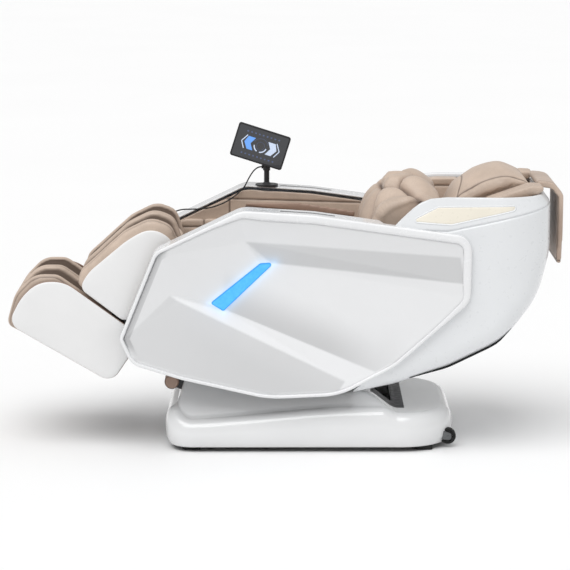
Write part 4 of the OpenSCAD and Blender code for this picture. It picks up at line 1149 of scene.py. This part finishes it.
FINISHES = (
    (STEEL, ("base_frame", "seat_frame", "back_frame", "calf_frame", "wheel_brackets")),
    (BRIGHT, ("pivot_shaft", "tilt_rod", "recline_rod", "leg_rod", "massage_rails")),
    (DARK_GREY, ("foot_frame", "seat_pan", "air_pump", "control_box", "massage_carriage")),
    (BLACK, ("power_inlet", "front_bracket", "power_switch", "tilt_motor", "recline_motor", "leg_motor",
            "tablet_post", "tablet_head", "tablet_case", "cable_grommet")),
    (TRIM, ("arm_trims",)),
    (RUBBER, ("foot_pads", "left_wheel", "right_wheel")),
    (ROLLER, ("left_kneader", "right_kneader", "sole_rollers")),
    (SCREEN, ("tablet_screen",)),
)
for finish, nodes in FINISHES:
    for node in nodes:
        for slot in NODES[node].material_slots:
            slot.material = finish
        if not NODES[node].material_slots:
            NODES[node].data.materials.append(finish)

# ---- the tablet's screen ----

TABLET_MIDDLE, TABLET_Y, TABLET_ROLL = (-91, 1013), 276, math.radians(17.7)
SCREEN_FACE, ICON_LIFT = 5.35, 0.3


def glowing(name, colour, strength):
    made = moulded(name, tuple(c * 0.3 for c in colour), 0.3)
    made.set("Emission Color", made.mix(made.spread(made.noise(300, 2)), colour,
                                        tuple(c * 0.82 for c in colour)))
    made.shader.inputs["Emission Strength"].default_value = strength
    return made.material


GLOWS = [glowing("screen_blue", (0.16, 0.40, 0.95), 0.9), glowing("screen_pale", (0.62, 0.72, 0.90), 0.9),
         glowing("screen_dim", (0.10, 0.13, 0.24), 0.8)]


def on_screen(at):
    """Points of the screen, measured from its middle, in the chair's frame."""
    c, s = math.cos(TABLET_ROLL), math.sin(TABLET_ROLL)
    return np.column_stack([TABLET_MIDDLE[0] + at[:, 0] * c + at[:, 1] * s,
                            np.full(len(at), TABLET_Y - SCREEN_FACE - ICON_LIFT),
                            TABLET_MIDDLE[1] - at[:, 0] * s + at[:, 1] * c])


def band(line, width):
    """The outline of a band of a width along a line."""
    line = np.asarray(line, float)
    t = np.gradient(line, axis=0)
    t /= np.linalg.norm(t, axis=1)[:, None]
    across = np.column_stack([-t[:, 1], t[:, 0]]) * width / 2
    return np.vstack([line + across, (line - across)[::-1]])


def arc(radius, start, end, count=18):
    turn = np.radians(np.linspace(start, end, count))
    return np.column_stack([radius * np.cos(turn), radius * np.sin(turn)])


def add_icons():
    mirrored = np.array((-1, 1))
    arrow = np.array([(-52, 24), (-24, 24), (-38, 0), (-24, -24), (-46, -24), (-62, 0)], float)
    edge = band([(-56, 27), (-72, 1), (-72, -1), (-58, -25)], 3.4)
    dot = np.array([(-3, -2.6), (3, -2.6), (3, 2.6), (-3, 2.6)])
    # Outlines, each with the number of its glow
    shapes = [(arrow, 0), (edge, 1), (arrow * mirrored, 1), (edge * mirrored, 1),
              (band(arc(23, 185, 250), 4.2), 1), (band(arc(23, 275, 350), 4.2), 1),
              (band(arc(15, 0, 350, 40), 1.0), 2), (band(arc(28, 20, 160, 30), 1.0), 2)]
    shapes += [(dot + (x, y), 2) for y in (41, -42) for x in range(-60, 61, 15)]
    points, faces = [], []
    for outline, _ in shapes:
        faces.append(list(range(len(points), len(points) + len(outline))))
        points += on_screen(outline).tolist()
    icons = add_piece("screen_icons", points, faces, GLOWS[0], "tablet")
    for glow in GLOWS[1:]:
        icons.data.materials.append(glow)
    icons.data.polygons.foreach_set("material_index", [glow for _, glow in shapes])


add_icons()

# ---- floor and light ----

FLOOR_REACH = 60000
floor_white = Shading("studio_floor", (0.93, 0.93, 0.93), 0.6)
floor_white.set("Base Color", floor_white.mix(floor_white.spread(floor_white.noise(0.7, 2)),
                                              (0.93, 0.93, 0.93), (0.92, 0.92, 0.92)))
corners = [(-FLOOR_REACH, -FLOOR_REACH, 0), (FLOOR_REACH, -FLOOR_REACH, 0), (FLOOR_REACH, FLOOR_REACH, 0),
           (-FLOOR_REACH, FLOOR_REACH, 0)]
ground = add_piece("studio_floor", corners, [[0, 1, 2, 3]], floor_white.material)

world = bpy.data.worlds.new("studio")
world.use_nodes = True
world.node_tree.nodes["Background"].inputs["Color"].default_value = (1.0, 1.0, 1.0, 1)
world.node_tree.nodes["Background"].inputs["Strength"].default_value = 0.56
bpy.context.scene.world = world
bpy.context.scene.view_settings.view_transform = "Standard"


sun = bpy.data.lights.new("softbox_sun", "SUN")
sun.energy = 2.0
sun.angle = math.radians(54)
lamp = placed("softbox_sun", sun)
lamp.rotation_euler = Vector((0.22, 0.45, -1)).to_track_quat("-Z", "Y").to_euler()
